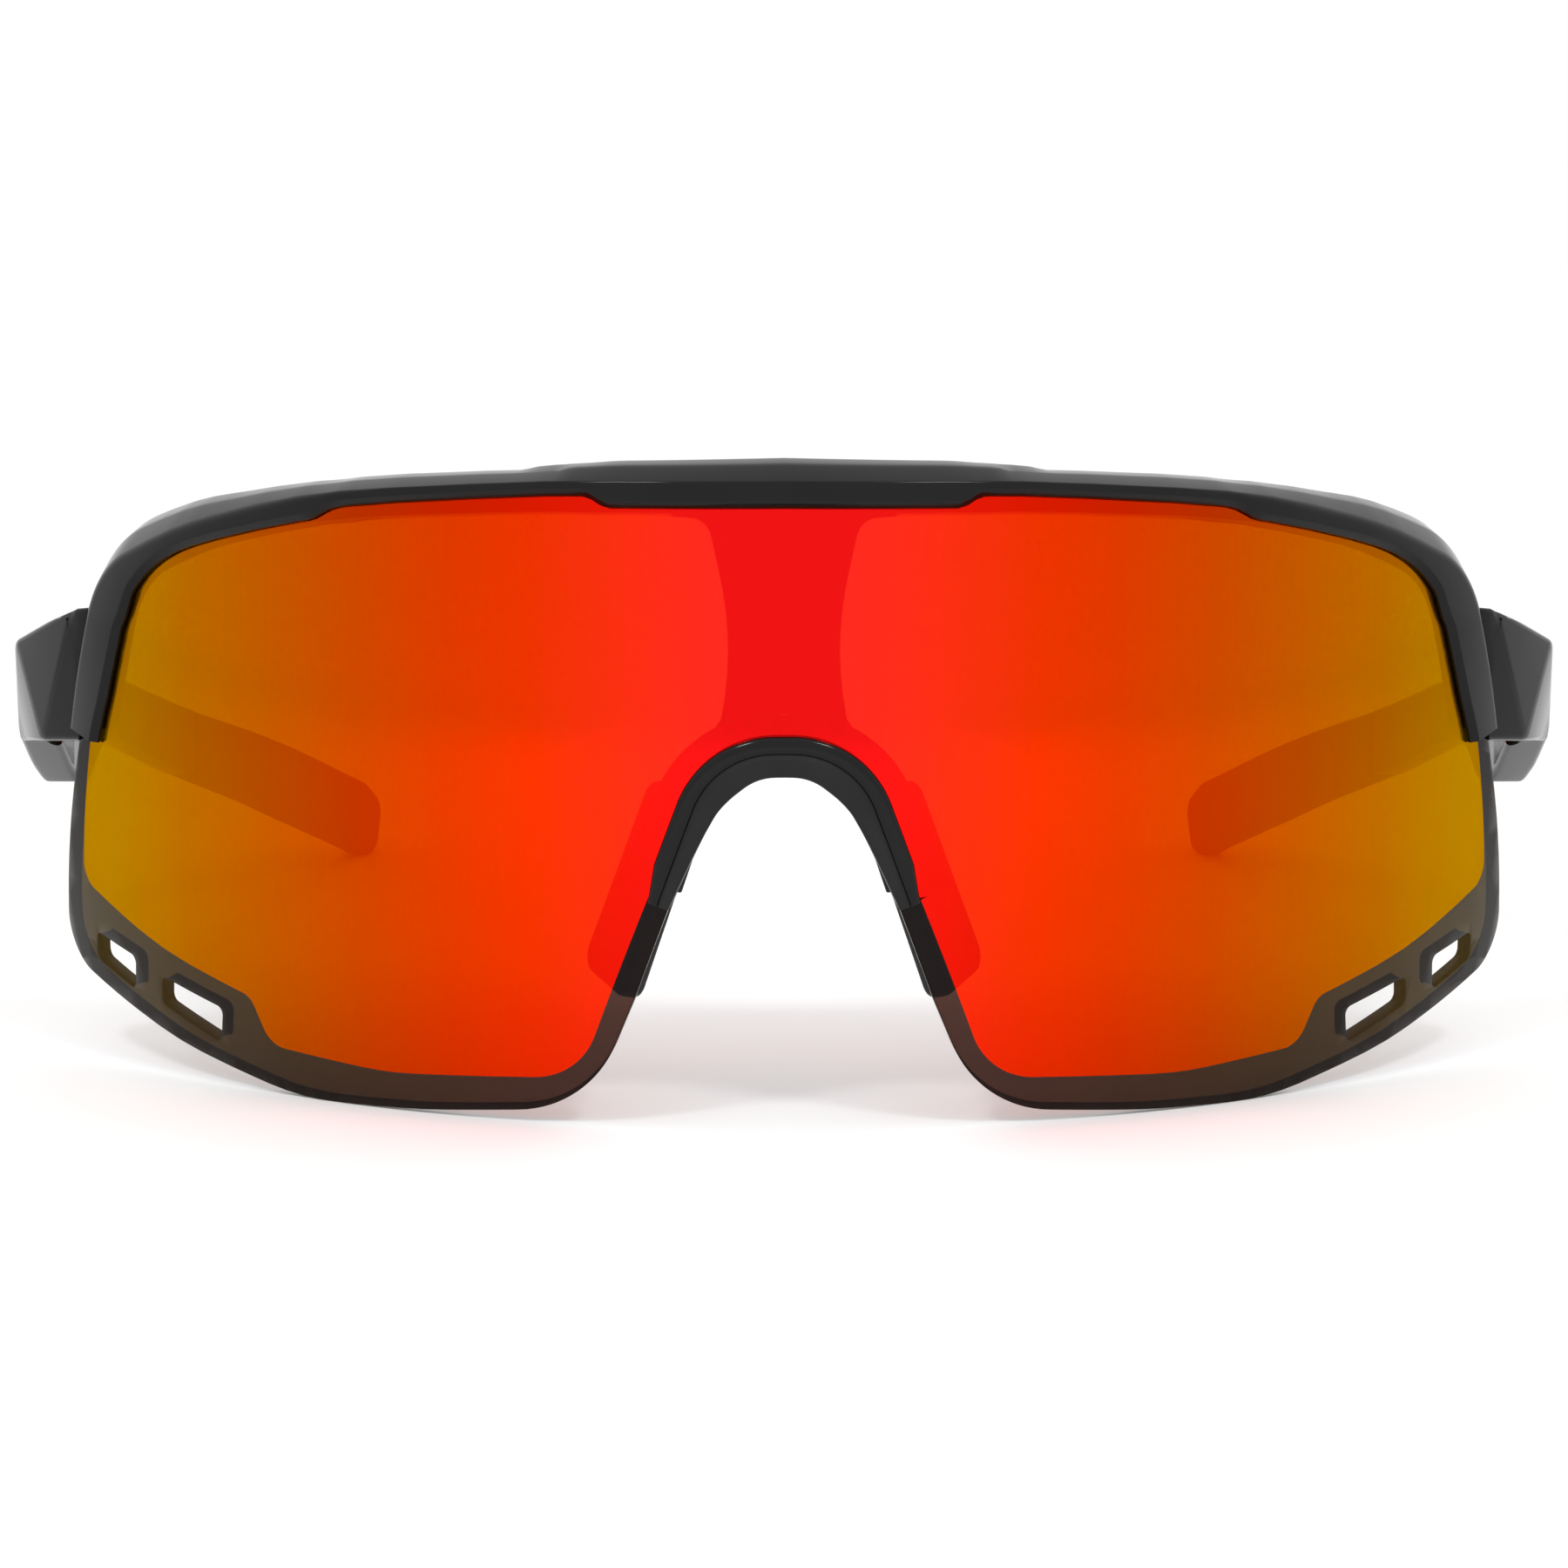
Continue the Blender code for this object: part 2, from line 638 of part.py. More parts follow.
def knuckle_levels():
    """Bottom and top of the lower lug knuckle, the temple knuckle and the upper lug knuckle."""
    pitch = KNUCKLE_HEIGHT + SEAT_GAP
    return [(HINGE_BASE + k * pitch, HINGE_BASE + k * pitch + KNUCKLE_HEIGHT) for k in range(3)]


def make_lug_body():
    corner = rim_corner()
    back = butt_plane()
    outer = temple_outer()
    inner = hinge_axis()[0] - KNUCKLE_RADIUS + LUG_INNER
    inward, down = LUG_ROOT
    root = bend(rim_path()[-1].x - inward, LUG_TOP - down, -RIM_FRONT)
    points = [(corner.x + out, corner.y + behind, LUG_BOTTOM) for out, behind in LUG_LOW_RIM]
    points += [(outer - into, back - ahead, LUG_BOTTOM) for into, ahead in LUG_LOW_SIDE]
    points += [(root.x + out, root.y + behind, LUG_TOP + rise) for out, behind, rise in LUG_HIGH_RIM]
    points += [(outer - into, back - ahead, LUG_TOP + rise) for into, ahead, rise in LUG_HIGH_SIDE]
    points += [(inner, back, LUG_BOTTOM), (inner, back, LUG_TOP + LUG_HIGH_BUTT)]
    bm = bmesh.new()
    for point in points:
        bm.verts.new(point)
    bmesh.ops.convex_hull(bm, input=bm.verts)
    bmesh.ops.dissolve_limit(bm, angle_limit=math.radians(1), verts=bm.verts, edges=bm.edges)
    return bm


def bridge_box(level, towards_back):
    """Block that joins a knuckle to the lug (in front) or to the temple (behind)."""
    x, y = hinge_axis()
    reach = KNUCKLE_RADIUS + BRIDGE_REACH
    near = y + SEAT_GAP / 2 if towards_back else y - SEAT_GAP / 2
    depth = BRIDGE_DEPTH * KNUCKLE_RADIUS
    far = y + depth if towards_back else y - depth
    return box((x, min(near, far), level[0]), (x + reach, max(near, far), level[1]))


def make_frame(group, tools, finish):
    frame = add_object("frame_front", make_rim(), group, finish)
    combine(frame, tool_object("post", make_post(), tools), "UNION")
    lens_room = tool_object("lens_room", make_lens_clearance(), tools)
    low, middle, high = knuckle_levels()
    x, y = hinge_axis()
    clear = KNUCKLE_RADIUS + SEAT_GAP
    insert = insert_radius() + INSERT_GAP
    for side, label in ((1, "left"), (-1, "right")):
        lug = tool_object("lug_" + label, for_side(make_lug_body(), side), tools)
        round_edges(lug, LUG_ROUND)
        combine(lug, lens_room, "DIFFERENCE")
        gap = cylinder(clear, middle[0] - SEAT_GAP, middle[1] + SEAT_GAP, (x, y))
        combine(lug, tool_object("lug_clearance_" + label, for_side(gap, side), tools), "DIFFERENCE")
        combine(frame, lug, "UNION")
        for k, level in enumerate((low, high)):
            ring = for_side(cylinder(KNUCKLE_RADIUS, *level, (x, y)), side)
            ring_tool = tool_object(f"knuckle_{k}_{label}", ring, tools)
            bridge = for_side(bridge_box((level[0] + 0.01 * MM, level[1] - 0.01 * MM), False), side)
            combine(ring_tool, tool_object(f"bridge_{k}_{label}", bridge, tools), "UNION")
            combine(frame, ring_tool, "UNION")
        cuts = {
            "bore": cylinder(PIN_RADIUS + RUNNING_GAP, low[0] - 1 * MM, high[1] + 4 * MM, (x, y)),
            "insert_pocket": cylinder(insert, low[0] - 1 * MM, low[1] - INSERT_ROOF, (x, y)),
            "head_pocket": cylinder(SCREW_HEAD_RADIUS + SEAT_GAP / 2, high[1] - SCREW_HEAD_SINK,
                                    high[1] + 5 * MM, (x, y)),
        }
        for word, cutter in cuts.items():
            tool = tool_object(f"{word}_{label}", for_side(cutter, side), tools)
            combine(frame, tool, "DIFFERENCE")
    return frame


# ---------------------------------------------------------------- nose piece

def saddle_path():
    half = resample(rounded(nose_seat_corners(), math.radians(10)), 1.5 * MM)
    right = [Vector((-p.x, p.y)) for p in half]
    return right + list(reversed(half))[1:]


def make_saddle_channel():
    path = saddle_path()
    length = path_length(path)
    back = LENS_THICK + SEAT_GAP

    def section(gone):
        from_end = min(gone, length - gone)
        share = min(1.0, from_end / (length / 2))
        lap = SADDLE_LAP_END + (SADDLE_LAP - SADDLE_LAP_END) * min(1, from_end / SADDLE_SHOULDER)
        swell = SADDLE_SWELL * math.exp(-((share - SADDLE_SWELL_AT) / 0.2)**2)
        over = SADDLE_OVER_END + (SADDLE_OVER - SADDLE_OVER_END) * min(1, 1.4 * share) + swell
        rear = SADDLE_REAR_LAP_END + (SADDLE_REAR_LAP - SADDLE_REAR_LAP_END) * share
        return [
            (-SEAT_GAP, -SEAT_GAP),
            (lap, -SEAT_GAP),
            (lap, -SADDLE_BEAD + SADDLE_ROUND),
            (lap - SADDLE_ROUND, -SADDLE_BEAD),
            (-over + SADDLE_ROUND, -SADDLE_BEAD),
            (-over, -SADDLE_BEAD + SADDLE_ROUND),
            (-over, back + SADDLE_REAR),
            (rear - SADDLE_ROUND, back + SADDLE_REAR),
            (rear, back + SADDLE_REAR / 2),
            (rear, back),
            (-SEAT_GAP, back),
        ]

    return sweep(path, section)


def pad_frame():
    """Matrix of the left pad: x down the pad, y towards its rear edge, z away from the nose."""
    saddle_back = LENS_THICK + SEAT_GAP + SADDLE_REAR
    start = saddle_back + SEAT_GAP + PAD_THICK * math.sin(PAD_SPLAY)
    shoulder = Vector((NOSE_SHOULDER, NOSE_TOP))
    seat = Vector(SEAT_END)
    foot = Vector(NOSE_FOOT)
    top_s = shoulder.x + (seat.x - shoulder.x) * (PAD_TOP - shoulder.y) / (seat.y - shoulder.y)
    foot_s = foot.x + (PAD_FOOT - foot.y) * (seat.x - foot.x) / (seat.y - foot.y)
    top = bend(top_s - PAD_PROUD - PAD_TOP_IN, PAD_TOP, start)
    low = bend(foot_s - PAD_PROUD, PAD_FOOT, start)
    down = (low - top).normalized()
    rearwards = Vector((math.sin(PAD_SPLAY), math.cos(PAD_SPLAY), 0))
    rearwards = (rearwards - down * rearwards.dot(down)).normalized()
    away = down.cross(rearwards)
    if away.x < 0:
        away = -away
    matrix = Matrix((down, rearwards, away)).transposed().to_4x4()
    matrix.translation = top
    return matrix, (low - top).length


def make_pad_body():
    matrix, length = pad_frame()
    corners = [
        (0, 0, PAD_TIP_CORNERS[0]),
        (length, 0, PAD_TIP_CORNERS[1]),
        (length + PAD_FOOT_DROP, PAD_WIDTH + PAD_FLARE, PAD_CORNER),
        (0, PAD_WIDTH, PAD_CORNER),
    ]
    bm = plate([closed_rounded(corners, math.radians(20))], 0, PAD_THICK)
    bmesh.ops.transform(bm, matrix=matrix, verts=bm.verts)
    return bm


def make_arm_body(margin, root):
    """Pad arm inside a pad; with a margin it is the slot that the pad has for it."""
    matrix, _ = pad_frame()
    start = (PAD_THICK - ARM_THICK) / 2
    bm = box((ARM_START - margin, -root, start - margin),
             (ARM_START + ARM_LENGTH + margin, ARM_WIDTH + margin, start + ARM_THICK + margin))
    bmesh.ops.transform(bm, matrix=matrix, verts=bm.verts)
    return bm


def make_nose_piece(group, tools, saddle_finish, pad_finish):
    saddle = add_object("nose_saddle", make_saddle_channel(), group, saddle_finish)
    pads = []
    for side, label in ((1, "left"), (-1, "right")):
        arm = tool_object("pad_arm_" + label, for_side(make_arm_body(0, ARM_ROOT), side), tools)
        combine(saddle, arm, "UNION")
        pad = add_object("nose_pad_" + label, for_side(make_pad_body(), side), group, pad_finish)
        round_edges(pad, PAD_EDGE)
        slot = for_side(make_arm_body(SEAT_GAP, ARM_ROOT), side)
        combine(pad, tool_object("pad_slot_" + label, slot, tools), "DIFFERENCE")
        pads.append(pad)
    return [saddle, *pads]


# ---------------------------------------------------------------- hinge hardware

def insert_radius():
    return PIN_RADIUS + RUNNING_GAP + INSERT_WALL


def make_screw(side, label, group, finish):
    low, _, high = knuckle_levels()
    x, y = hinge_axis()
    seat = high[1] - SCREW_HEAD_SINK + 0.1 * MM
    bottom = low[0] + 0.3 * MM
    bm = bmesh.new()
    profile = [(0, seat + SCREW_HEAD_HEIGHT), (SCREW_HEAD_RADIUS, seat + SCREW_HEAD_HEIGHT),
               (SCREW_HEAD_RADIUS, seat), (PIN_RADIUS, seat), (PIN_RADIUS, bottom), (0, bottom)]
    verts = [bm.verts.new((r, 0, z)) for r, z in profile]
    edges = [bm.edges.new(pair) for pair in zip(verts, verts[1:])]
    bmesh.ops.spin(bm, geom=verts + edges, cent=(0, 0, 0), axis=(0, 0, 1), dvec=(0, 0, 0),
                   angle=math.tau, steps=BORE_SIDES, use_merge=True)
    bmesh.ops.remove_doubles(bm, verts=bm.verts, dist=1e-6)
    bmesh.ops.translate(bm, vec=(x, y, 0), verts=bm.verts)
    return add_object("hinge_screw_" + label, for_side(bm, side), group, finish)


def make_insert(side, label, group, tools, finish):
    low = knuckle_levels()[0]
    x, y = hinge_axis()
    ring = cylinder(insert_radius(), low[0], low[1] - INSERT_ROOF - INSERT_GAP, (x, y))
    insert = add_object("hinge_insert_" + label, for_side(ring, side), group, finish)
    hole = cylinder(PIN_RADIUS + RUNNING_GAP, low[0] - 1 * MM, low[1] + 1 * MM, (x, y))
    combine(insert, tool_object("insert_bore_" + label, for_side(hole, side), tools), "DIFFERENCE")
    return insert


# ---------------------------------------------------------------- temples

def temple_front():
    return butt_plane() + SEAT_GAP


def arm_middle(back):
    """Middle line of the arm, in from the temple's outer side, at a distance behind the butt."""
    points = [(share * TEMPLE_LENGTH, run * TEMPLE_TOE_IN) for share, run in ARM_RUN]
    return temple_outer() - arm_thickness(back) / 2 - smooth_through(points, back)


def arm_thickness(back):
    share = min(1.0, max(0.0, (back - THIN_START) / THIN_LENGTH))
    return TEMPLE_THICK_HEAD + (TEMPLE_THICK_ARM - TEMPLE_THICK_HEAD) * share


def arm_line(back):
    """Height of the arm's middle line behind the head."""
    points = [(share * TEMPLE_LENGTH, height) for share, height in ARM_RISE]
    return smooth_through(points, back)


def arm_height(back):
    share = min(1.0, max(0.0, (back / TEMPLE_LENGTH - 0.26) / 0.5))
    return ARM_HEIGHT_ROOT + (ARM_HEIGHT_TIP - ARM_HEIGHT_ROOT) * share


def grip_start():
    return TEMPLE_LENGTH - GRIP_LENGTH


def edge_points(first, last, sense, inset=0.0):
    """Points of the arm's upper (sense 1) or lower (sense -1) edge between two distances."""
    count = max(2, math.ceil(abs(last - first) / ARM_STEP))
    points = []
    for k in range(count + 1):
        back = first + (last - first) * k / count
        rise = sense * (arm_height(back) / 2 - inset)
        points.append(Vector((back, arm_line(back) + rise)))
    return points


def core_outline(start, end, grow):
    """The temple's flat core inside the grip, or with some growth the slot for it."""
    inset = GRIP_COVER - grow
    return edge_points(start, end, 1, inset) + edge_points(end, start, -1, inset)


def temple_outline():
    """Side view of the head, with its drop below the lug, and the bare arm."""
    bare = grip_start() - SEAT_GAP
    neck = HEAD_NECK * TEMPLE_LENGTH
    low = LUG_BOTTOM + HEAD_MARGIN
    high = LUG_TOP - HEAD_MARGIN
    share, crown_drop, crown_radius = HEAD_CROWN
    head = rounded([
        (neck, arm_line(neck) - arm_height(0) / 2, 0),
        *[(back, low - depth, radius) for back, depth, radius in HEAD_DROP],
        (0, low, 0),
        (0, high, 0),
        (share * TEMPLE_LENGTH, high - crown_drop, crown_radius),
        (neck, arm_line(neck) + arm_height(0) / 2, 0),
    ])
    start = ARM_START_SHARE * TEMPLE_LENGTH
    return head + edge_points(start, bare, 1) + edge_points(bare, start, -1)


def grip_outline():
    end = arm_line(TEMPLE_LENGTH)
    upper = edge_points(grip_start(), TEMPLE_LENGTH - 2 * TIP_ROUND, 1)
    lower = edge_points(TEMPLE_LENGTH - 3 * TIP_ROUND, grip_start(), -1)
    tip_top = (TEMPLE_LENGTH, end + ARM_HEIGHT_TIP / 3)
    tip_low = (TEMPLE_LENGTH - TIP_LEAN, end - 0.48 * ARM_HEIGHT_TIP)
    tip = rounded([(*upper[-1], 0), (*tip_top, TIP_ROUND), (*tip_low, TIP_ROUND), (*lower[0], 0)])
    return upper[:-1] + tip + lower[1:]


def bent_blade(outline, thickness_at):
    """Plate drawn in side view, given its thickness and its run in towards the head."""
    bm = plate([outline], -MM / 2, MM / 2)
    slice_across(bm, 0, ARM_STEP)
    for vert in bm.verts:
        back, height, half = vert.co
        fade = 1 - min(1.0, back / (ARM_START_SHARE * TEMPLE_LENGTH))
        lean = HEAD_LEAN * (height - LUG_TOP) * fade
        x = arm_middle(back) + half / MM * thickness_at(back) + lean
        vert.co = (x, temple_front() + back, height)
    return bm


def make_temple(side, label, group, tools, finish):
    low, middle, high = knuckle_levels()
    x, y = hinge_axis()
    body = bent_blade(temple_outline(), arm_thickness)
    temple = add_object("temple_" + label, for_side(body, side), group, finish)
    round_edges(temple, TEMPLE_ROUND, 1)
    core = core_outline(grip_start() - CORE_ROOT, TEMPLE_LENGTH - CORE_MARGIN, 0.0)
    core_blade = for_side(bent_blade(core, lambda back: CORE_THICK), side)
    combine(temple, tool_object("temple_core_" + label, core_blade, tools), "UNION")
    clear = KNUCKLE_RADIUS + SEAT_GAP
    spans = {
        "below": (low[0] - 9 * MM, middle[0] - SEAT_GAP / 3),
        "above": (middle[1] + SEAT_GAP / 3, high[1] + 9 * MM),
    }
    for word, span in spans.items():
        gap = for_side(cylinder(clear, *span, (x, y)), side)
        combine(temple, tool_object(f"temple_clearance_{word}_{label}", gap, tools), "DIFFERENCE")
    ring = tool_object("temple_knuckle_" + label, for_side(cylinder(KNUCKLE_RADIUS, *middle, (x, y)), side),
                       tools)
    bridge = for_side(bridge_box((middle[0] + 0.01 * MM, middle[1] - 0.01 * MM), True), side)
    combine(ring, tool_object("temple_bridge_" + label, bridge, tools), "UNION")
    combine(temple, ring, "UNION")
    bore = cylinder(PIN_RADIUS + RUNNING_GAP, middle[0] - 1 * MM, middle[1] + 1 * MM, (x, y))
    combine(temple, tool_object("temple_bore_" + label, for_side(bore, side), tools), "DIFFERENCE")
    return temple


def make_grip(side, label, group, tools, finish):
    body = bent_blade(grip_outline(), arm_thickness)
    grip = add_object("temple_grip_" + label, for_side(body, side), group, finish)
    round_edges(grip, TEMPLE_ROUND, 2)
    core = core_outline(grip_start() - CORE_ROOT, TEMPLE_LENGTH - CORE_MARGIN + SEAT_GAP, SEAT_GAP)
    slot = bent_blade(core, lambda back: CORE_THICK + 2 * SEAT_GAP)
    combine(grip, tool_object("core_slot_" + label, for_side(slot, side), tools), "DIFFERENCE")
    return grip


# ---------------------------------------------------------------- assembly

def put_origin(obj, place):
    """Move an object's origin without moving its shape."""
    obj.data.transform(Matrix.Translation(-place))
    obj.location = place


def evaluated_points(objects):
    graph = bpy.context.evaluated_depsgraph_get()
    clouds = []
    for obj in objects:
        shown = obj.evaluated_get(graph)
        mesh = shown.to_mesh()
        flat = np.empty(len(mesh.vertices) * 3)
        mesh.vertices.foreach_get("co", flat)
        place = np.array(shown.matrix_world)
        clouds.append(flat.reshape(-1, 3) @ place[:3, :3].T + place[:3, 3])
        shown.to_mesh_clear()
    return np.vstack(clouds)


def rest_on_table(stand, objects):
    """Tip the whole until the lens's lower edge and the temple tips touch one plane."""
    points = evaluated_points(objects)
    middle = (points[:, 1].min() + points[:, 1].max()) / 2
    front = points[points[:, 1] < middle]
    rear = points[points[:, 1] >= middle]
    low, high = 0.0, math.radians(25)
    for _ in range(50):
        tip = (low + high) / 2
        row = np.array((-math.sin(tip), math.cos(tip)))
        if (rear[:, 1:] @ row).min() > (front[:, 1:] @ row).min():
            low = tip
        else:
            high = tip
    turn = Matrix.Rotation(-low, 3, "X")
    turned = points @ np.array(turn).T
    lowest, highest = turned.min(axis=0), turned.max(axis=0)
    stand.rotation_euler = (-low, 0, 0)
    stand.location = (-(lowest[0] + highest[0]) / 2, -(lowest[1] + highest[1]) / 2, -lowest[2])


def main():
    clear_scene()
    group = collection(NAME)
    tools = collection("cutters")
    gloss_black = material("gloss_black", (0.012, 0.012, 0.014), 0.12)
    saddle_black = material("saddle_black", (0.012, 0.012, 0.012), 0.18)
    coated = material("coated_lens", (0.85, 0.12, 0.01), 0.05, 0.9, 0.85)
    pad_rubber = material("pad_rubber", (0.02, 0.02, 0.02), 0.6)
    grip_rubber = material("grip_rubber", (0.02, 0.02, 0.021), 0.65)
    steel = material("hinge_steel", (0.6, 0.6, 0.6), 0.25, 1.0)
    brass = material("insert_brass", (0.75, 0.55, 0.25), 0.3, 1.0)

    stand = bpy.data.objects.new("rest_pose", None)
    group.objects.link(stand)
    objects = [make_frame(group, tools, gloss_black), make_lens(group, coated)]
    objects += make_nose_piece(group, tools, saddle_black, pad_rubber)
    for side, label in ((1, "left"), (-1, "right")):
        x, y = hinge_axis()
        pivot = Vector((side * x, y, knuckle_levels()[1][0]))
        temple = make_temple(side, label, group, tools, gloss_black)
        grip = make_grip(side, label, group, tools, grip_rubber)
        put_origin(temple, pivot)
        put_origin(grip, pivot)
        objects += [temple, grip]
        objects.append(make_screw(side, label, group, steel))
        objects.append(make_insert(side, label, group, tools, brass))
    bpy.context.view_layer.update()
    rest_on_table(stand, objects)
    for obj in objects + list(tools.objects):
        obj.parent = stand
    bpy.context.view_layer.update()


main()
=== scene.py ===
"""Looks of a pair of wraparound shield sunglasses, built round its CAD frame.

Pieces that follow the lens are drawn on the lens laid flat: s runs along the lens, h up it and
n through it, from its outer surface inwards. LensSurface lays such a place on the real surface.
The upright frame has the lens's middle at its origin, x towards the wearer's left, y towards
the back and z up. The stand tips it until the glasses rest on the lens's lower edge and the
temple tips. Lengths are in metres.
"""

import json
import logging
import math
from dataclasses import dataclass, field
from enum import Enum
from typing import Callable, Sequence

import bmesh
import bpy
import numpy as np
from mathutils import Matrix, Vector


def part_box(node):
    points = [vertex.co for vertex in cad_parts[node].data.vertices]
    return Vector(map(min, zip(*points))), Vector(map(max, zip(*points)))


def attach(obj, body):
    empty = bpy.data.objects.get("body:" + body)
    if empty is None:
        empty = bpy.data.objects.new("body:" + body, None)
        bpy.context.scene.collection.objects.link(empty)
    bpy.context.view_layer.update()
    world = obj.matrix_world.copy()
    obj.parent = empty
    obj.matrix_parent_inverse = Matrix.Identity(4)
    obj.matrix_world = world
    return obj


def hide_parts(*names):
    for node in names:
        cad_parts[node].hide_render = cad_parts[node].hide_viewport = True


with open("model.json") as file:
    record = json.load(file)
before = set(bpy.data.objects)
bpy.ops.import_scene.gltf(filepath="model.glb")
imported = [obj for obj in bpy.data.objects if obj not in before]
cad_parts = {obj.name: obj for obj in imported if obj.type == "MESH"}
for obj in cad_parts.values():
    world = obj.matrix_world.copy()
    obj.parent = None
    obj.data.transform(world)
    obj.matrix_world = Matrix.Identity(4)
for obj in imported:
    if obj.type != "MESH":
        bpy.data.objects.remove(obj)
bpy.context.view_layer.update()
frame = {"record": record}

LOG = logging.getLogger("sunglasses")
MM = 0.001
Place = tuple[float, float]
Section = list[Place]


class Side(Enum):
    """The two halves of the glasses, named for the wearer."""

    LEFT = 1
    RIGHT = -1

    @property
    def word(self) -> str:
        """Word that node and body names use for this side."""
        return self.name.lower()

    def turned(self, bm: bmesh.types.BMesh) -> bmesh.types.BMesh:
        """Turn a piece drawn for the wearer's left into this side's.

        Args:
            bm: The piece's mesh.

        Returns:
            The same mesh, mirrored for the right-hand side.
        """
        if self is Side.RIGHT:
            bmesh.ops.scale(bm, vec=(-1, 1, 1), verts=bm.verts)
            bmesh.ops.reverse_faces(bm, faces=bm.faces)
        return bm


# ---------------------------------------------------------------- the lens surface

@dataclass(frozen=True)
class LensSurface:
    """The toric lens surface and the stand that the upright glasses are tipped by."""

    radius: float = 80 * MM
    camber: float = 110 * MM
    lean: float = math.radians(8)
    stand: Matrix = field(default_factory=Matrix)

    def upright(self, s: float, h: float, n: float) -> Vector:
        """Lay a flat place on the lens surface, in the upright frame.

        Args:
            s: Distance along the lens from its middle.
            h: Distance up the lens from its middle.
            n: Depth from the outer surface.

        Returns:
            The place in the upright frame.
        """
        across = s / self.radius
        upward = h / self.camber
        reach = self.radius - self.camber * (1 - math.cos(upward)) - n * math.cos(upward)
        flat = Vector((reach * math.sin(across), self.radius - reach * math.cos(across),
                       (self.camber - n) * math.sin(upward)))
        return Matrix.Rotation(self.lean, 3, "X") @ flat

    def place(self, s: float, h: float, n: float) -> Vector:
        """Lay a flat place on the lens surface, in the row frame.

        Args:
            s: Distance along the lens from its middle.
            h: Distance up the lens from its middle.
            n: Depth from the outer surface.

        Returns:
            The place in the row frame.
        """
        return self.stand @ self.upright(s, h, n)

    def bend(self, bm: bmesh.types.BMesh) -> bmesh.types.BMesh:
        """Lay a whole flat mesh on the lens surface.

        Args:
            bm: The mesh, in flat places.

        Returns:
            The same mesh, in the row frame.
        """
        for vert in bm.verts:
            vert.co = self.place(*vert.co)
        return bm

    @classmethod
    def on_frame(cls, outline: Sequence[Vector]) -> "LensSurface":
        """Find the stand from the hinge axis and the lens node's box.

        Args:
            outline: The lens's flat outline.

        Returns:
            The surface, standing as the CAD frame stands.
        """
        axis = frame["record"]["behaviour"]["joints"][0]["axis"]
        turn = Matrix.Rotation(-math.atan2(abs(axis[1]), abs(axis[2])), 4, "X")
        loose = cls(stand=turn)
        middle = [p.y for p in outline if abs(p.x) < 1e-7]
        heights = np.linspace(min(middle), max(middle), 200)
        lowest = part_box("lens")[0]
        front = min(loose.place(0, height, 0).y for height in heights)
        low = min(loose.place(p.x, p.y, 0).z for p in outline)
        shift = Vector((0, lowest[1] - front, lowest[2] - low))
        return cls(stand=Matrix.Translation(shift) @ turn)


# ---------------------------------------------------------------- outlines

def rounded(corners: Sequence[Sequence[float]], turn: float = math.radians(4)) -> list[Vector]:
    """Draw an open outline through corners, with an arc at each one that has a radius.

    Args:
        corners: Corners as (x, y, radius).
        turn: Longest turn of one facet of an arc.

    Returns:
        The outline's points.
    """
    points = [Vector(corners[0][:2])]
    for before, corner, after in zip(corners, corners[1:], corners[2:]):
        at = Vector(corner[:2])
        back = (Vector(before[:2]) - at).normalized()
        ahead = (Vector(after[:2]) - at).normalized()
        bend = math.pi - back.angle(ahead)
        if corner[2] <= 0 or bend < 1e-4:
            points.append(at)
            continue
        centre = at + (back + ahead).normalized() * (corner[2] / math.cos(bend / 2))
        spoke = at + back * corner[2] * math.tan(bend / 2) - centre
        sense = 1 if back.x * ahead.y - back.y * ahead.x < 0 else -1
        steps = max(2, math.ceil(bend / turn))
        points += [centre + Matrix.Rotation(sense * bend * k / steps, 2) @ spoke
                   for k in range(steps + 1)]
    points.append(Vector(corners[-1][:2]))
    return points


def closed_rounded(corners: Sequence[Sequence[float]], turn: float = math.radians(12)) -> list[Vector]:
    """Draw a closed outline with rounded corners.

    Args:
        corners: Corners as (x, y, radius).
        turn: Longest turn of one facet of an arc.

    Returns:
        The outline's points, the first not repeated.
    """
    middle = (Vector(corners[0][:2]) + Vector(corners[-1][:2])) / 2
    return rounded([(*middle, 0), *corners, (*middle, 0)], turn)[:-1]


def both_halves(half: Sequence[Vector]) -> list[Vector]:
    """Close a half outline that starts and ends on the middle line."""
    return list(half) + [Vector((-p.x, p.y)) for p in reversed(half) if abs(p.x) > 1e-7]


def filleted(corners: Sequence[Sequence[float]], steps: int = 4) -> Section:
    """Round a closed section, with the same number of points whatever its sizes.

    Args:
        corners: Corners as (v, n, radius).
        steps: Facets of each rounded corner.

    Returns:
        The section's points.
    """
    section = []
    count = len(corners)
    for i, corner in enumerate(corners):
        at = Vector(corner[:2])
        back = Vector(corners[i - 1][:2]) - at
        ahead = Vector(corners[(i + 1) % count][:2]) - at
        if corner[2] <= 0:
            section.append(tuple(at))
            continue
        bend = math.pi - back.angle(ahead)
        reach = min(corner[2] * math.tan(bend / 2), 0.48 * back.length, 0.48 * ahead.length)
        start = at + back.normalized() * reach
        end = at + ahead.normalized() * reach
        for k in range(steps + 1):
            t = k / steps
            section.append(tuple(start * (1 - t)**2 + at * (2 * t * (1 - t)) + end * t**2))
    return section


def resample(points: Sequence[Vector], longest: float) -> list[Vector]:
    """Add points to a path, so that no facet is longer than a step.

    Args:
        points: The path.
        longest: Longest facet.

    Returns:
        The finer path.
    """
    path = [points[0]]
    for one, two in zip(points, points[1:]):
        pieces = max(1, math.ceil((two - one).length / longest))
        path += [one.lerp(two, k / pieces) for k in range(1, pieces + 1)]
    return path


def path_length(path: Sequence[Vector]) -> float:
    """Length of a path."""
    return sum((two - one).length for one, two in zip(path, path[1:]))


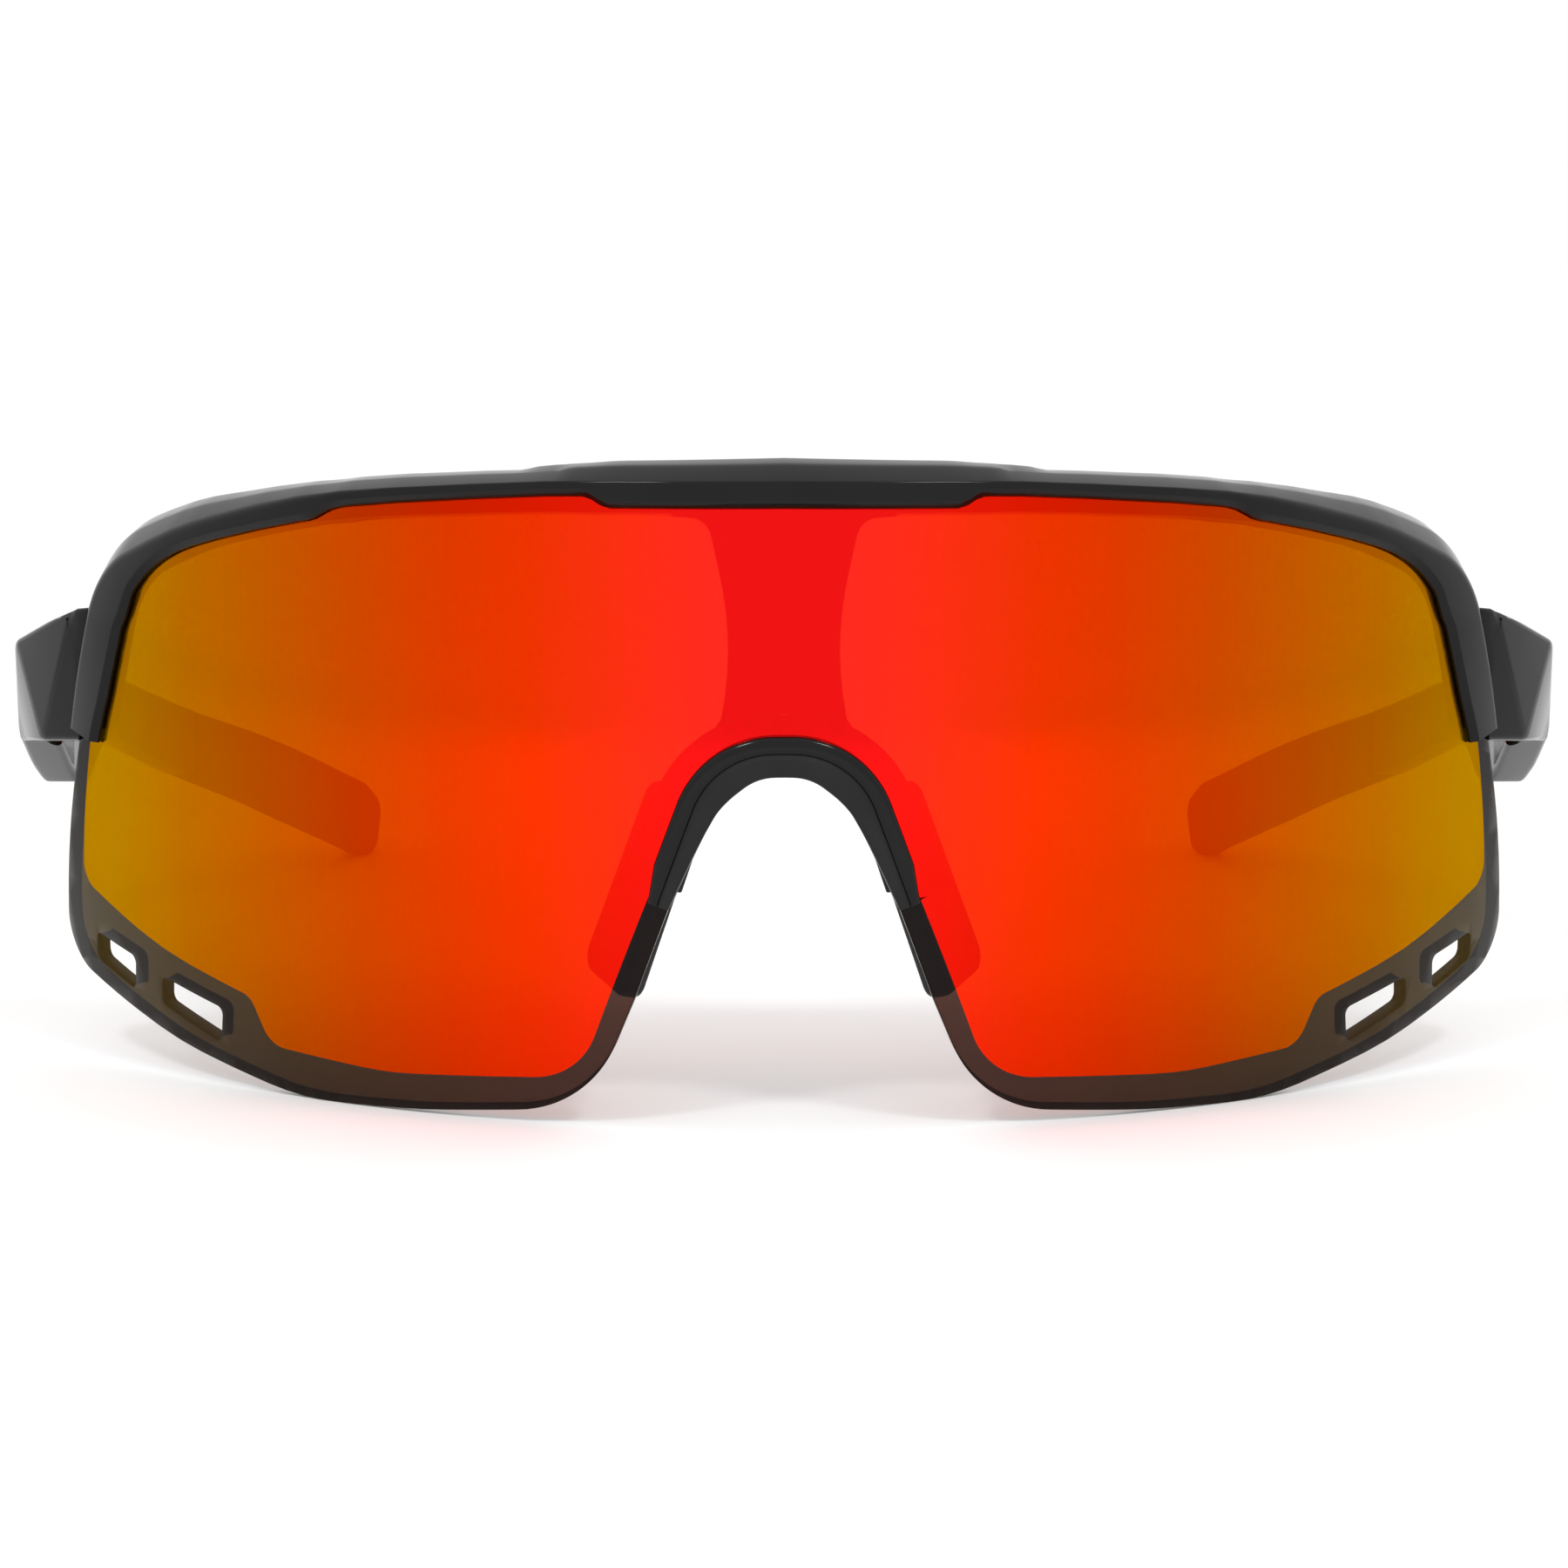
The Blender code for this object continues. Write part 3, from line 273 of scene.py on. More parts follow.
def smooth_through(points: Sequence[Place], at: float) -> float:
    """Read a smooth curve through points.

    Args:
        points: Points (x, y) in order of x.
        at: Where to read it.

    Returns:
        The curve's y there.
    """
    xs = [p[0] for p in points]
    ys = [p[1] for p in points]
    i = int(np.clip(np.searchsorted(xs, at) - 1, 0, len(xs) - 2))
    slopes = np.gradient(ys, xs)
    width = xs[i + 1] - xs[i]
    t = (at - xs[i]) / width
    start = (2 * t**3 - 3 * t**2 + 1) * ys[i] + (t**3 - 2 * t**2 + t) * width * slopes[i]
    return float(start + (3 * t**2 - 2 * t**3) * ys[i + 1] + (t**3 - t**2) * width * slopes[i + 1])


def eased(rows: Sequence[Sequence[float]], column: int, at: float, window: float = 0.7 * MM) -> float:
    """Read one column of a table of sections, with its corners eased.

    Args:
        rows: Rows whose first value is a distance.
        column: The column to read.
        at: The distance.
        window: Half the length over which the straight runs are averaged.

    Returns:
        The value there.
    """
    places = [row[0] for row in rows]
    values = [row[column] for row in rows]
    return float(np.mean(np.interp(np.linspace(at - window, at + window, 7), places, values)))


# ---------------------------------------------------------------- mesh tools

def sweep(path: Sequence[Vector], section_at: Callable[[float], Section],
          lay: Callable[[float, float, float], Vector]) -> bmesh.types.BMesh:
    """Carry a changing section along a flat path by extruding its ring.

    Args:
        path: The flat path.
        section_at: Gives the section's (v, n) points at a distance along the path.
        lay: Lays a flat place (s, h, n) in space.

    Returns:
        The closed body.
    """
    bm = bmesh.new()
    first = section_at(0.0)
    ring = bmesh.ops.create_circle(bm, segments=len(first), radius=1.0)["verts"]
    edges = [edge for edge in bm.edges]
    bmesh.ops.contextual_create(bm, geom=ring)
    gone = 0.0
    for i, place in enumerate(path):
        gone += (place - path[i - 1]).length if i else 0.0
        if i:
            old = ring
            made = bmesh.ops.extrude_edge_only(bm, edges=edges)["geom"]
            fresh = {item for item in made if isinstance(item, bmesh.types.BMVert)}
            edges = [e for e in made if isinstance(e, bmesh.types.BMEdge) and fresh.issuperset(e.verts)]
            ring = [next(e.other_vert(v) for e in v.link_edges if e.other_vert(v) in fresh) for v in old]
        ahead = (path[min(i + 1, len(path) - 1)] - path[max(i - 1, 0)]).normalized()
        for vert, (v, n) in zip(ring, section_at(gone)):
            vert.co = lay(place.x - ahead.y * v, place.y + ahead.x * v, n)
    bmesh.ops.contextual_create(bm, geom=ring)
    bmesh.ops.recalc_face_normals(bm, faces=bm.faces)
    return bm


def filled(sheets: Sequence[Sequence[Sequence[Vector]]]) -> bmesh.types.BMesh:
    """Fill flat sheets with faces.

    Args:
        sheets: For each sheet its closed outlines, the outer edge first and then any holes.
            The sheets that share a line are joined along it, and each has its own material.

    Returns:
        The flat sheet, facing out (towards negative depth).
    """
    bm = bmesh.new()
    for number, outlines in enumerate(sheets):
        border = []
        for outline in outlines:
            verts = [bm.verts.new((p.x, p.y, 0)) for p in outline]
            border += [bm.edges.new(pair) for pair in zip(verts, [*verts[1:], verts[0]])]
        made = bmesh.ops.triangle_fill(bm, use_beauty=True, edges=border, normal=(0, 0, -1))["geom"]
        for item in made:
            if isinstance(item, bmesh.types.BMFace):
                item.material_index = number
                if item.normal.z > 0:
                    item.normal_flip()
    bmesh.ops.remove_doubles(bm, verts=bm.verts, dist=1e-7)
    return bm


def thickened(bm: bmesh.types.BMesh, thick: float, bevel: float, steps: int = 1) -> bmesh.types.BMesh:
    """Give a flat sheet its thickness, with a rounded edge all round.

    Args:
        bm: The flat sheet at depth zero.
        thick: Its thickness.
        bevel: Radius of the rounded edge.
        steps: Facets of the rounding.

    Returns:
        The closed flat body, between depth zero and its thickness.
    """
    edges = [edge for edge in bm.edges if edge.is_boundary]
    outwards: dict = {}
    for edge in edges:
        loop = edge.link_loops[0]
        along = loop.link_loop_next.vert.co - loop.vert.co
        for vert in edge.verts:
            outwards[vert] = outwards.get(vert, Vector()) + Vector((-along.y, along.x, 0)).normalized()
    ring = {vert: (vert.co.copy(), way.normalized()) for vert, way in outwards.items()}
    for vert, (home, way) in ring.items():
        vert.co = home - way * bevel
    back = bmesh.ops.duplicate(bm, geom=bm.faces[:])["geom"]
    back_verts = [item for item in back if isinstance(item, bmesh.types.BMVert)]
    arc = [(bevel * (math.sin(turn) - 1), bevel * (1 - math.cos(turn)))
           for turn in (math.pi / 2 * k / steps for k in range(1, steps + 1))]
    profile = arc + [(run, thick - drop) for run, drop in reversed(arc)] + [(-bevel, thick)]
    for run, depth in profile:
        made = bmesh.ops.extrude_edge_only(bm, edges=edges)["geom"]
        fresh = {item for item in made if isinstance(item, bmesh.types.BMVert)}
        edges = [e for e in made if isinstance(e, bmesh.types.BMEdge) and fresh.issuperset(e.verts)]
        moved = {}
        for vert, (home, way) in ring.items():
            new = next(e.other_vert(vert) for e in vert.link_edges if e.other_vert(vert) in fresh)
            new.co = home + way * run + Vector((0, 0, depth))
            moved[new] = (home, way)
        ring = moved
    bmesh.ops.translate(bm, vec=(0, 0, thick), verts=back_verts)
    bmesh.ops.remove_doubles(bm, verts=bm.verts, dist=1e-7)
    bmesh.ops.recalc_face_normals(bm, faces=bm.faces)
    return bm


def diced(bm: bmesh.types.BMesh, cell: float) -> bmesh.types.BMesh:
    """Cut a flat body into cells, so that it can bend.

    Args:
        bm: The flat body.
        cell: Cell size along both of its sides.

    Returns:
        The same body, with more edges.
    """
    for axis in range(2):
        values = [vert.co[axis] for vert in bm.verts]
        across = Vector((axis == 0, axis == 1, 0))
        for k in range(math.floor(min(values) / cell), math.ceil(max(values) / cell) + 1):
            geometry = bm.verts[:] + bm.edges[:] + bm.faces[:]
            bmesh.ops.bisect_plane(bm, geom=geometry, dist=1e-6, plane_co=across * (k * cell),
                                   plane_no=across)
    return bm


def turned_profile(profile: Sequence[Place], sides: int = 48) -> bmesh.types.BMesh:
    """Spin a profile about the z axis.

    Args:
        profile: Points (radius, z).
        sides: Facets round.

    Returns:
        The closed body.
    """
    bm = bmesh.new()
    verts = [bm.verts.new((r, 0, z)) for r, z in profile]
    edges = [bm.edges.new(pair) for pair in zip(verts, verts[1:])]
    bmesh.ops.spin(bm, geom=verts + edges, cent=(0, 0, 0), axis=(0, 0, 1), dvec=(0, 0, 0),
                   angle=math.tau, steps=sides, use_merge=True)
    bmesh.ops.remove_doubles(bm, verts=bm.verts, dist=1e-6)
    bmesh.ops.recalc_face_normals(bm, faces=bm.faces)
    return bm


def outward(bm: bmesh.types.BMesh) -> bmesh.types.BMesh:
    """Make sure that a closed body's faces point out.

    Args:
        bm: The closed body.

    Returns:
        The same body.
    """
    bmesh.ops.recalc_face_normals(bm, faces=bm.faces)
    if bm.calc_volume(signed=True) < 0:
        bmesh.ops.reverse_faces(bm, faces=bm.faces)
    return bm


def finished(name: str, bm: bmesh.types.BMesh, finishes: Sequence[bpy.types.Material],
             sharp: float = 32.0) -> bpy.types.Object:
    """Make an object of a mesh, smooth but for its sharp edges.

    Args:
        name: The piece's name.
        bm: Its mesh, in the row frame.
        finishes: Its materials.
        sharp: Edges that turn by more than this many degrees stay sharp.

    Returns:
        The object, at the origin.
    """
    mesh = bpy.data.meshes.new(name)
    outward(bm).to_mesh(mesh)
    bm.free()
    for finish in finishes:
        mesh.materials.append(finish)
    mesh.shade_smooth()
    mesh.set_sharp_from_angle(angle=math.radians(sharp))
    piece = bpy.data.objects.new(name, mesh)
    bpy.context.scene.collection.objects.link(piece)
    return piece


def carved(bm: bmesh.types.BMesh, steps: Sequence[tuple[str, bmesh.types.BMesh]]) -> bmesh.types.BMesh:
    """Join bodies to a mesh, or cut them out of it, one after another.

    Args:
        bm: The mesh.
        steps: Pairs of UNION or DIFFERENCE and the other body.

    Returns:
        The result, as a new mesh.
    """
    base = finished("blank", bm, ())
    others = []
    for operation, body in steps:
        other = finished("tool", body, ())
        cut = base.modifiers.new(operation, "BOOLEAN")
        cut.operation = operation
        cut.solver = "EXACT"
        cut.object = other
        others.append(other)
    bpy.context.view_layer.update()
    made = bpy.data.meshes.new_from_object(base.evaluated_get(bpy.context.evaluated_depsgraph_get()))
    result = bmesh.new()
    result.from_mesh(made)
    for piece in (base, *others):
        mesh = piece.data
        bpy.data.objects.remove(piece)
        bpy.data.meshes.remove(mesh)
    bpy.data.meshes.remove(made)
    bmesh.ops.remove_doubles(result, verts=result.verts, dist=1e-6)
    return result


# ---------------------------------------------------------------- finishes

class Paint:
    """One material's node tree, with short calls for the nodes that the finishes share."""

    def __init__(self, name: str) -> None:
        """Start a material.

        Args:
            name: The material's name.
        """
        self.material = bpy.data.materials.new(name)
        self.material.use_nodes = True
        self.tree = self.material.node_tree
        self.shader = self.tree.nodes["Principled BSDF"]
        self.output = self.tree.nodes["Material Output"]
        self.here = self.tree.nodes.new("ShaderNodeTexCoord").outputs["Object"]

    def noise(self, scale: float, detail: float = 3.0,
              stretch: tuple[float, float, float] = (1, 1, 1)) -> bpy.types.NodeSocket:
        """Add noise over the piece.

        Args:
            scale: Features in a metre.
            detail: Octaves.
            stretch: How much finer the noise is along each axis.

        Returns:
            The noise value.
        """
        mapping = self.tree.nodes.new("ShaderNodeMapping")
        mapping.inputs["Scale"].default_value = stretch
        self.tree.links.new(self.here, mapping.inputs["Vector"])
        noise = self.tree.nodes.new("ShaderNodeTexNoise")
        noise.inputs["Scale"].default_value = scale
        noise.inputs["Detail"].default_value = detail
        self.tree.links.new(mapping.outputs["Vector"], noise.inputs["Vector"])
        return noise.outputs["Fac"]

    def spread(self, value: bpy.types.NodeSocket, low: float, high: float,
               start: float = 0.3, end: float = 0.7) -> bpy.types.NodeSocket:
        """Map a value onto a range.

        Args:
            value: The value.
            low: Result at the start.
            high: Result at the end.
            start: Value that gives low.
            end: Value that gives high.

        Returns:
            The mapped value.
        """
        node = self.tree.nodes.new("ShaderNodeMapRange")
        for word, number in zip(("From Min", "From Max", "To Min", "To Max"), (start, end, low, high)):
            node.inputs[word].default_value = number
        self.tree.links.new(value, node.inputs["Value"])
        return node.outputs["Result"]

    def ramp(self, value: bpy.types.NodeSocket,
             stops: Sequence[tuple[float, tuple[float, float, float]]]) -> bpy.types.NodeSocket:
        """Colour a value.

        Args:
            value: The value, from 0 to 1.
            stops: Pairs of a place on the ramp and its colour.

        Returns:
            The colour.
        """
        node = self.tree.nodes.new("ShaderNodeValToRGB")
        elements = node.color_ramp.elements
        while len(elements) < len(stops):
            elements.new(1.0)
        for element, (at, colour) in zip(elements, stops):
            element.position = at
            element.color = (*colour, 1.0)
        self.tree.links.new(value, node.inputs["Fac"])
        return node.outputs["Color"]

    def across(self, half_width: float) -> bpy.types.NodeSocket:
        """Distance from the middle plane, as a share of a half width.

        Args:
            half_width: The distance that gives one.

        Returns:
            The share.
        """
        parts = self.tree.nodes.new("ShaderNodeSeparateXYZ")
        self.tree.links.new(self.here, parts.inputs["Vector"])
        away = self.tree.nodes.new("ShaderNodeMath")
        away.operation = "ABSOLUTE"
        self.tree.links.new(parts.outputs["X"], away.inputs[0])
        share = self.tree.nodes.new("ShaderNodeMath")
        share.operation = "DIVIDE"
        share.inputs[1].default_value = half_width
        self.tree.links.new(away.outputs["Value"], share.inputs[0])
        return share.outputs["Value"]

    def shift(self, value: bpy.types.NodeSocket, by: bpy.types.NodeSocket) -> bpy.types.NodeSocket:
        """Add one value to another.

        Args:
            value: The value.
            by: What is added to it.

        Returns:
            The sum.
        """
        node = self.tree.nodes.new("ShaderNodeMath")
        node.operation = "ADD"
        self.tree.links.new(value, node.inputs[0])
        self.tree.links.new(by, node.inputs[1])
        return node.outputs["Value"]

    def feed(self, word: str, value: bpy.types.NodeSocket) -> None:
        """Link a value to one of the shader's sockets."""
        self.tree.links.new(value, self.shader.inputs[word])

    def bump(self, height: bpy.types.NodeSocket, strength: float, distance: float) -> None:
        """Add relief, over any relief already there.

        Args:
            height: The relief's height.
            strength: How strongly it shows.
            distance: The relief's depth.
        """
        node = self.tree.nodes.new("ShaderNodeBump")
        node.inputs["Strength"].default_value = strength
        node.inputs["Distance"].default_value = distance
        self.tree.links.new(height, node.inputs["Height"])
        before = self.shader.inputs["Normal"].links
        if before:
            self.tree.links.new(before[0].from_socket, node.inputs["Normal"])
        self.tree.links.new(node.outputs["Normal"], self.shader.inputs["Normal"])

    def see_through(self, tint: bpy.types.NodeSocket | tuple[float, float, float], share: float) -> None:
        """Let part of the light straight through.

        Args:
            tint: Colour of the light that passes.
            share: Share of the surface that is clear.
        """
        clear = self.tree.nodes.new("ShaderNodeBsdfTransparent")
        if isinstance(tint, tuple):
            clear.inputs["Color"].default_value = (*tint, 1.0)
        else:
            self.tree.links.new(tint, clear.inputs["Color"])
        mix = self.tree.nodes.new("ShaderNodeMixShader")
        mix.inputs["Fac"].default_value = share
        self.tree.links.new(self.shader.outputs["BSDF"], mix.inputs[1])
        self.tree.links.new(clear.outputs["BSDF"], mix.inputs[2])
        self.tree.links.new(mix.outputs["Shader"], self.output.inputs["Surface"])


@dataclass(frozen=True)
class GlossPlastic:
    """Polished black plastic, with faint ripple, handling haze and hairline scratches."""

    name: str
    colour: tuple[float, float, float] = (0.0032, 0.0033, 0.0036)
    roughness: float = 0.07
    haze: float = 0.09
    ior: float = 1.30
    ripple: float = 0.03

    def build(self) -> bpy.types.Material:
        """Build the material.

        Returns:
            The material.
        """
        paint = Paint(self.name)
        haze = paint.noise(140, 4)
        scratches = paint.noise(2600, 2, (1, 0.08, 0.5))
        darker = tuple(0.6 * c for c in self.colour)
        paint.feed("Base Color", paint.ramp(haze, ((0.35, darker), (0.65, self.colour))))
        paint.feed("Roughness", paint.spread(haze, self.roughness, self.roughness + self.haze))
        paint.shader.inputs["IOR"].default_value = self.ior
        paint.bump(paint.noise(420, 2), self.ripple, 0.1 * MM)
        paint.bump(paint.spread(scratches, 0, 1, 0.66, 0.72), 0.05, 0.01 * MM)
        return paint.material


@dataclass(frozen=True)
class SoftRubber:
    """Moulded rubber with a fine spark-eroded grain."""

    name: str
    colour: tuple[float, float, float] = (0.012, 0.012, 0.0125)
    roughness: float = 0.5
    grain: float = 5200

    def build(self) -> bpy.types.Material:
        """Build the material.

        Returns:
            The material.
        """
        paint = Paint(self.name)
        grain = paint.noise(self.grain, 2)
        worn = paint.noise(90, 3)
        paler = tuple(1.7 * c for c in self.colour)
        paint.feed("Base Color", paint.ramp(worn, ((0.3, self.colour), (0.75, paler))))
        paint.feed("Roughness", paint.spread(worn, self.roughness, self.roughness + 0.15))
        paint.shader.inputs["IOR"].default_value = 1.4
        paint.bump(grain, 0.35, 0.04 * MM)
        return paint.material


@dataclass(frozen=True)
class MirrorCoat:
    """Vacuum mirror coating, its colour painted by place across the lens rather than by viewing angle: red
    in the middle turning to gold at the sides, a painted reflection colour, and dimmer towards the sides,
    painted shade; the light that passes is tinted along the same shift.
    """

    name: str
    half_width: float = 68 * MM
    clear: float = 0.20
    tints: tuple = (
        (0.10, (1.0, 0.11, 0.04)),
        (0.33, (1.0, 0.15, 0.0)),
        (0.45, (1.0, 0.18, 0.0)),
        (0.94, (0.55, 0.38, 0.0)),
    )
    # painted reflection and painted shade: the reflected colour set by distance from the middle, red turning
    # gold and dimming towards the sides, in place of the coating's change with viewing angle
    stops: tuple = (
        (0.00, (1.0, 0.0080, 0.0080)),
        (0.10, (1.0, 0.0080, 0.0085)),
        (0.21, (0.93, 0.0098, 0.0035)),
        (0.33, (0.79, 0.0114, 0.0005)),
        (0.44, (0.65, 0.0173, 0.0)),
        (0.56, (0.535, 0.0327, 0.0)),
        (0.68, (0.465, 0.062, 0.0)),
        (0.80, (0.415, 0.105, 0.0)),
        (0.94, (0.39, 0.203, 0.0)),
    )

    def build(self) -> bpy.types.Material:
        """Build the material.

        Returns:
            The material.
        """
        paint = Paint(self.name)
        cloud = paint.spread(paint.noise(260, 3), -0.006, 0.006)
        # base colour painted by distance from the middle: painted reflection colour, darker towards the
        # sides as painted shade
        paint.feed("Base Color", paint.ramp(paint.shift(paint.across(self.half_width), cloud), self.stops))
        paint.shader.inputs["Metallic"].default_value = 1.0
        paint.shader.inputs["Specular Tint"].default_value = (1.0, 0.4, 0.0, 1.0)
        paint.feed("Roughness", paint.spread(paint.noise(900, 3), 0.10, 0.16))
        paint.bump(paint.noise(120, 1), 0.02, 0.05 * MM)
        paint.see_through(paint.ramp(paint.across(self.half_width), self.tints), self.clear)
        return paint.material


@dataclass(frozen=True)
class SmokeLens:
    """Uncoated smoke lens, which lets a part of the light through."""

    name: str
    clear: float = 0.35
    index: float = 1.28
    half_width: float = 70 * MM
    body: tuple[float, float, float] = (0.006, 0.004, 0.003)
    stops: tuple = (
        (0.25, (0.28, 0.125, 0.090)),
        (0.65, (0.22, 0.125, 0.045)),
        (0.95, (0.19, 0.135, 0.035)),
    )

    def build(self) -> bpy.types.Material:
        """Build the material.

        Returns:
            The material.
        """
        paint = Paint(self.name)
        cloud = paint.noise(300, 3)
        darker = tuple(0.7 * c for c in self.body)
        paint.feed("Base Color", paint.ramp(cloud, ((0.3, darker), (0.7, self.body))))
        paint.shader.inputs["IOR"].default_value = self.index
        paint.feed("Roughness", paint.spread(cloud, 0.06, 0.12))
        paint.bump(paint.noise(160, 1), 0.02, 0.05 * MM)
        paint.see_through(paint.ramp(paint.across(self.half_width), self.stops), self.clear)
        return paint.material


@dataclass(frozen=True)
class TurnedMetal:
    """Turned metal with fine rings round an upright axis."""

    name: str
    colour: tuple[float, float, float]
    roughness: float = 0.26

    def build(self) -> bpy.types.Material:
        """Build the material.

        Returns:
            The material.
        """
        paint = Paint(self.name)
        rings = paint.noise(5200, 2, (0.2, 0.2, 1.5))
        dull = paint.noise(700, 3)
        darker = tuple(0.7 * c for c in self.colour)
        paint.feed("Base Color", paint.ramp(dull, ((0.3, darker), (0.7, self.colour))))
        paint.shader.inputs["Metallic"].default_value = 1.0
        paint.feed("Roughness", paint.spread(dull, self.roughness, self.roughness + 0.15))
        paint.bump(rings, 0.15, 0.01 * MM)
        return paint.material


@dataclass(frozen=True)
class Palette:
    """Every finish of the glasses."""

    frame: bpy.types.Material
    bead: bpy.types.Material
    satin: bpy.types.Material
    pad: bpy.types.Material
    grip: bpy.types.Material
    mirror: bpy.types.Material
    border: bpy.types.Material
    inner: bpy.types.Material
    edge: bpy.types.Material
    steel: bpy.types.Material
    brass: bpy.types.Material

    @classmethod
    def mixed(cls) -> "Palette":
        """Build every finish.

        Returns:
            The palette.
        """
        return cls(
            frame=GlossPlastic("gloss_black").build(),
            bead=GlossPlastic("saddle_gloss", colour=(0.003, 0.003, 0.003), roughness=0.05).build(),
            satin=GlossPlastic("saddle_satin", colour=(0.010, 0.010, 0.010), roughness=0.32,
                               haze=0.1, ripple=0.08).build(),
            pad=SoftRubber("pad_rubber", colour=(0.006, 0.006, 0.006)).build(),
            grip=SoftRubber("grip_rubber").build(),
            mirror=MirrorCoat("mirror_coat").build(),
            border=SmokeLens("smoke_border").build(),
            inner=SmokeLens("smoke_inner", clear=0.75, body=(0.004, 0.003, 0.003),
                            stops=((0.0, (1.0, 0.95, 0.92)), (1.0, (1.0, 0.96, 0.90)))).build(),
            edge=SmokeLens("lens_edge", clear=0.3, index=1.15).build(),
            steel=TurnedMetal("hinge_steel", (0.60, 0.60, 0.61)).build(),
            brass=TurnedMetal("insert_brass", (0.75, 0.55, 0.25)).build(),
        )


# ---------------------------------------------------------------- lens

@dataclass(frozen=True)
class LensShape:
    """Flat outline of the lens: corners are (s, h, radius) on the wearer's left half."""

    top: float = 25.8 * MM
    bottom: float = -32.1 * MM
    half_arc: float = 84.8 * MM
    thick: float = 1.4 * MM
    nose_top: float = 2.5 * MM
    nose_shoulder: float = 5.9 * MM
    nose_radius: float = 7.4 * MM
    seat_end: Place = (10.95 * MM, -10.9 * MM)
    seat_step: float = 0.75 * MM
    nose_foot: Place = (13.7 * MM, -20.0 * MM)
    coat_margin: float = 0.25 * MM
    vents: tuple = (
        (72.0 * MM, -24.0 * MM, 6.3 * MM, 3.3 * MM, 2.7 * MM),
        (59.6 * MM, -27.6 * MM, 8.0 * MM, 3.4 * MM, 2.7 * MM),
    )
    vent_slope: float = 0.35
    vent_rake: float = 0.33
    vent_radius: float = 0.7 * MM

    def top_corners(self, inset: float = 0.0) -> list[tuple[float, float, float]]:
        """Corners of the upper edge, from the middle down to the rim's end.

        Args:
            inset: How far inside the lens edge the line runs.

        Returns:
            The corners.
        """
        top = self.top - inset
        arc = self.half_arc - inset
        side_top = top - 10.8 * MM
        side_foot = arc - 7.9 * MM
        return [
            (0, top, 0),
            (arc - 62.8 * MM, top - 0.15 * MM, 200 * MM),
            (arc - 39.8 * MM, top - 1.9 * MM, 90 * MM),
            (arc - 22.8 * MM, top - 6.2 * MM, 60 * MM),
            (side_foot - 0.255 * (side_top - 0.5 * MM), side_top, 8 * MM),
            (side_foot, 0.5 * MM, 60 * MM),
        ]

    def seat_corners(self) -> list[tuple[float, float, float]]:
        """Corners of the saddle's seat, from its lower end to the crown.

        Returns:
            The corners and their radii.
        """
        return [
            (*self.seat_end, 0),
            (self.nose_shoulder, self.nose_top, self.nose_radius),
            (0, self.nose_top, 0),
        ]

    def outline(self) -> list[Vector]:
        """Draw the whole edge.

        Returns:
            The outline's points.
        """
        leg = Vector(self.seat_end) - Vector((self.nose_shoulder, self.nose_top))
        along = leg.normalized()
        step = Vector(self.seat_end) + Vector((along.y, -along.x)) * self.seat_step
        step += along * 0.05 * MM
        lower = [
            (self.half_arc, self.bottom + 10.15 * MM, 4.5 * MM),
            (self.half_arc - 18.8 * MM, self.bottom + 3.65 * MM, 60 * MM),
            (self.half_arc - 34.8 * MM, self.bottom - 0.05 * MM, 34 * MM),
            (36 * MM, self.bottom + 0.2 * MM, 80 * MM),
            (self.nose_foot[0] + 4.8 * MM, self.bottom + 1.5 * MM, 12 * MM),
            (*self.nose_foot, 20 * MM),
            (*step, 0),
        ]
        return both_halves(rounded(self.top_corners() + lower + self.seat_corners()))

    def vent(self, number: int, side: Side) -> list[Vector]:
        """Draw one vent slot.

        Args:
            number: Which vent, from the outer one.
            side: Which half.

        Returns:
            The outline's points.
        """
        s, h, width, inner, outer = self.vents[number]
        rise = width * self.vent_slope
        corners = (
            (s, h, self.vent_radius),
            (s + width, h + rise, self.vent_radius),
            (s + width - self.vent_rake * outer, h + rise + outer, self.vent_radius),
            (s - self.vent_rake * inner, h + inner, self.vent_radius),
        )
        return [Vector((p.x * side.value, p.y)) for p in closed_rounded(corners)]

    def coat(self) -> list[Vector]:
        """Draw the edge of the mirror coating, which leaves a smoke border below.

        Returns:
            The outline's points.
        """
        upper = self.top_corners(self.coat_margin)[:-1]
        lower = [
            (74.9 * MM, 0.5 * MM, 30 * MM),
            (78.5 * MM, -14.0 * MM, 2.2 * MM),
            (65.8 * MM, -19.3 * MM, 60 * MM),
            (54.3 * MM, -22.5 * MM, 1.9 * MM),
            (52.7 * MM, -27.1 * MM, 2.6 * MM),
            (39.0 * MM, -28.4 * MM, 40 * MM),
            (19.2 * MM, -27.5 * MM, 7.0 * MM),
            (11.8 * MM, -9.6 * MM, 0),
            (self.nose_shoulder + 0.6 * MM, self.nose_top + 0.6 * MM, self.nose_radius),
            (0, self.nose_top + 0.6 * MM, 0),
        ]
        return both_halves(rounded(upper + lower))


class LensPart(Enum):
    """Regions of the lens, in the order of its materials."""

    MIRROR = 0
    BORDER = 1
    INNER = 2
    EDGE = 3


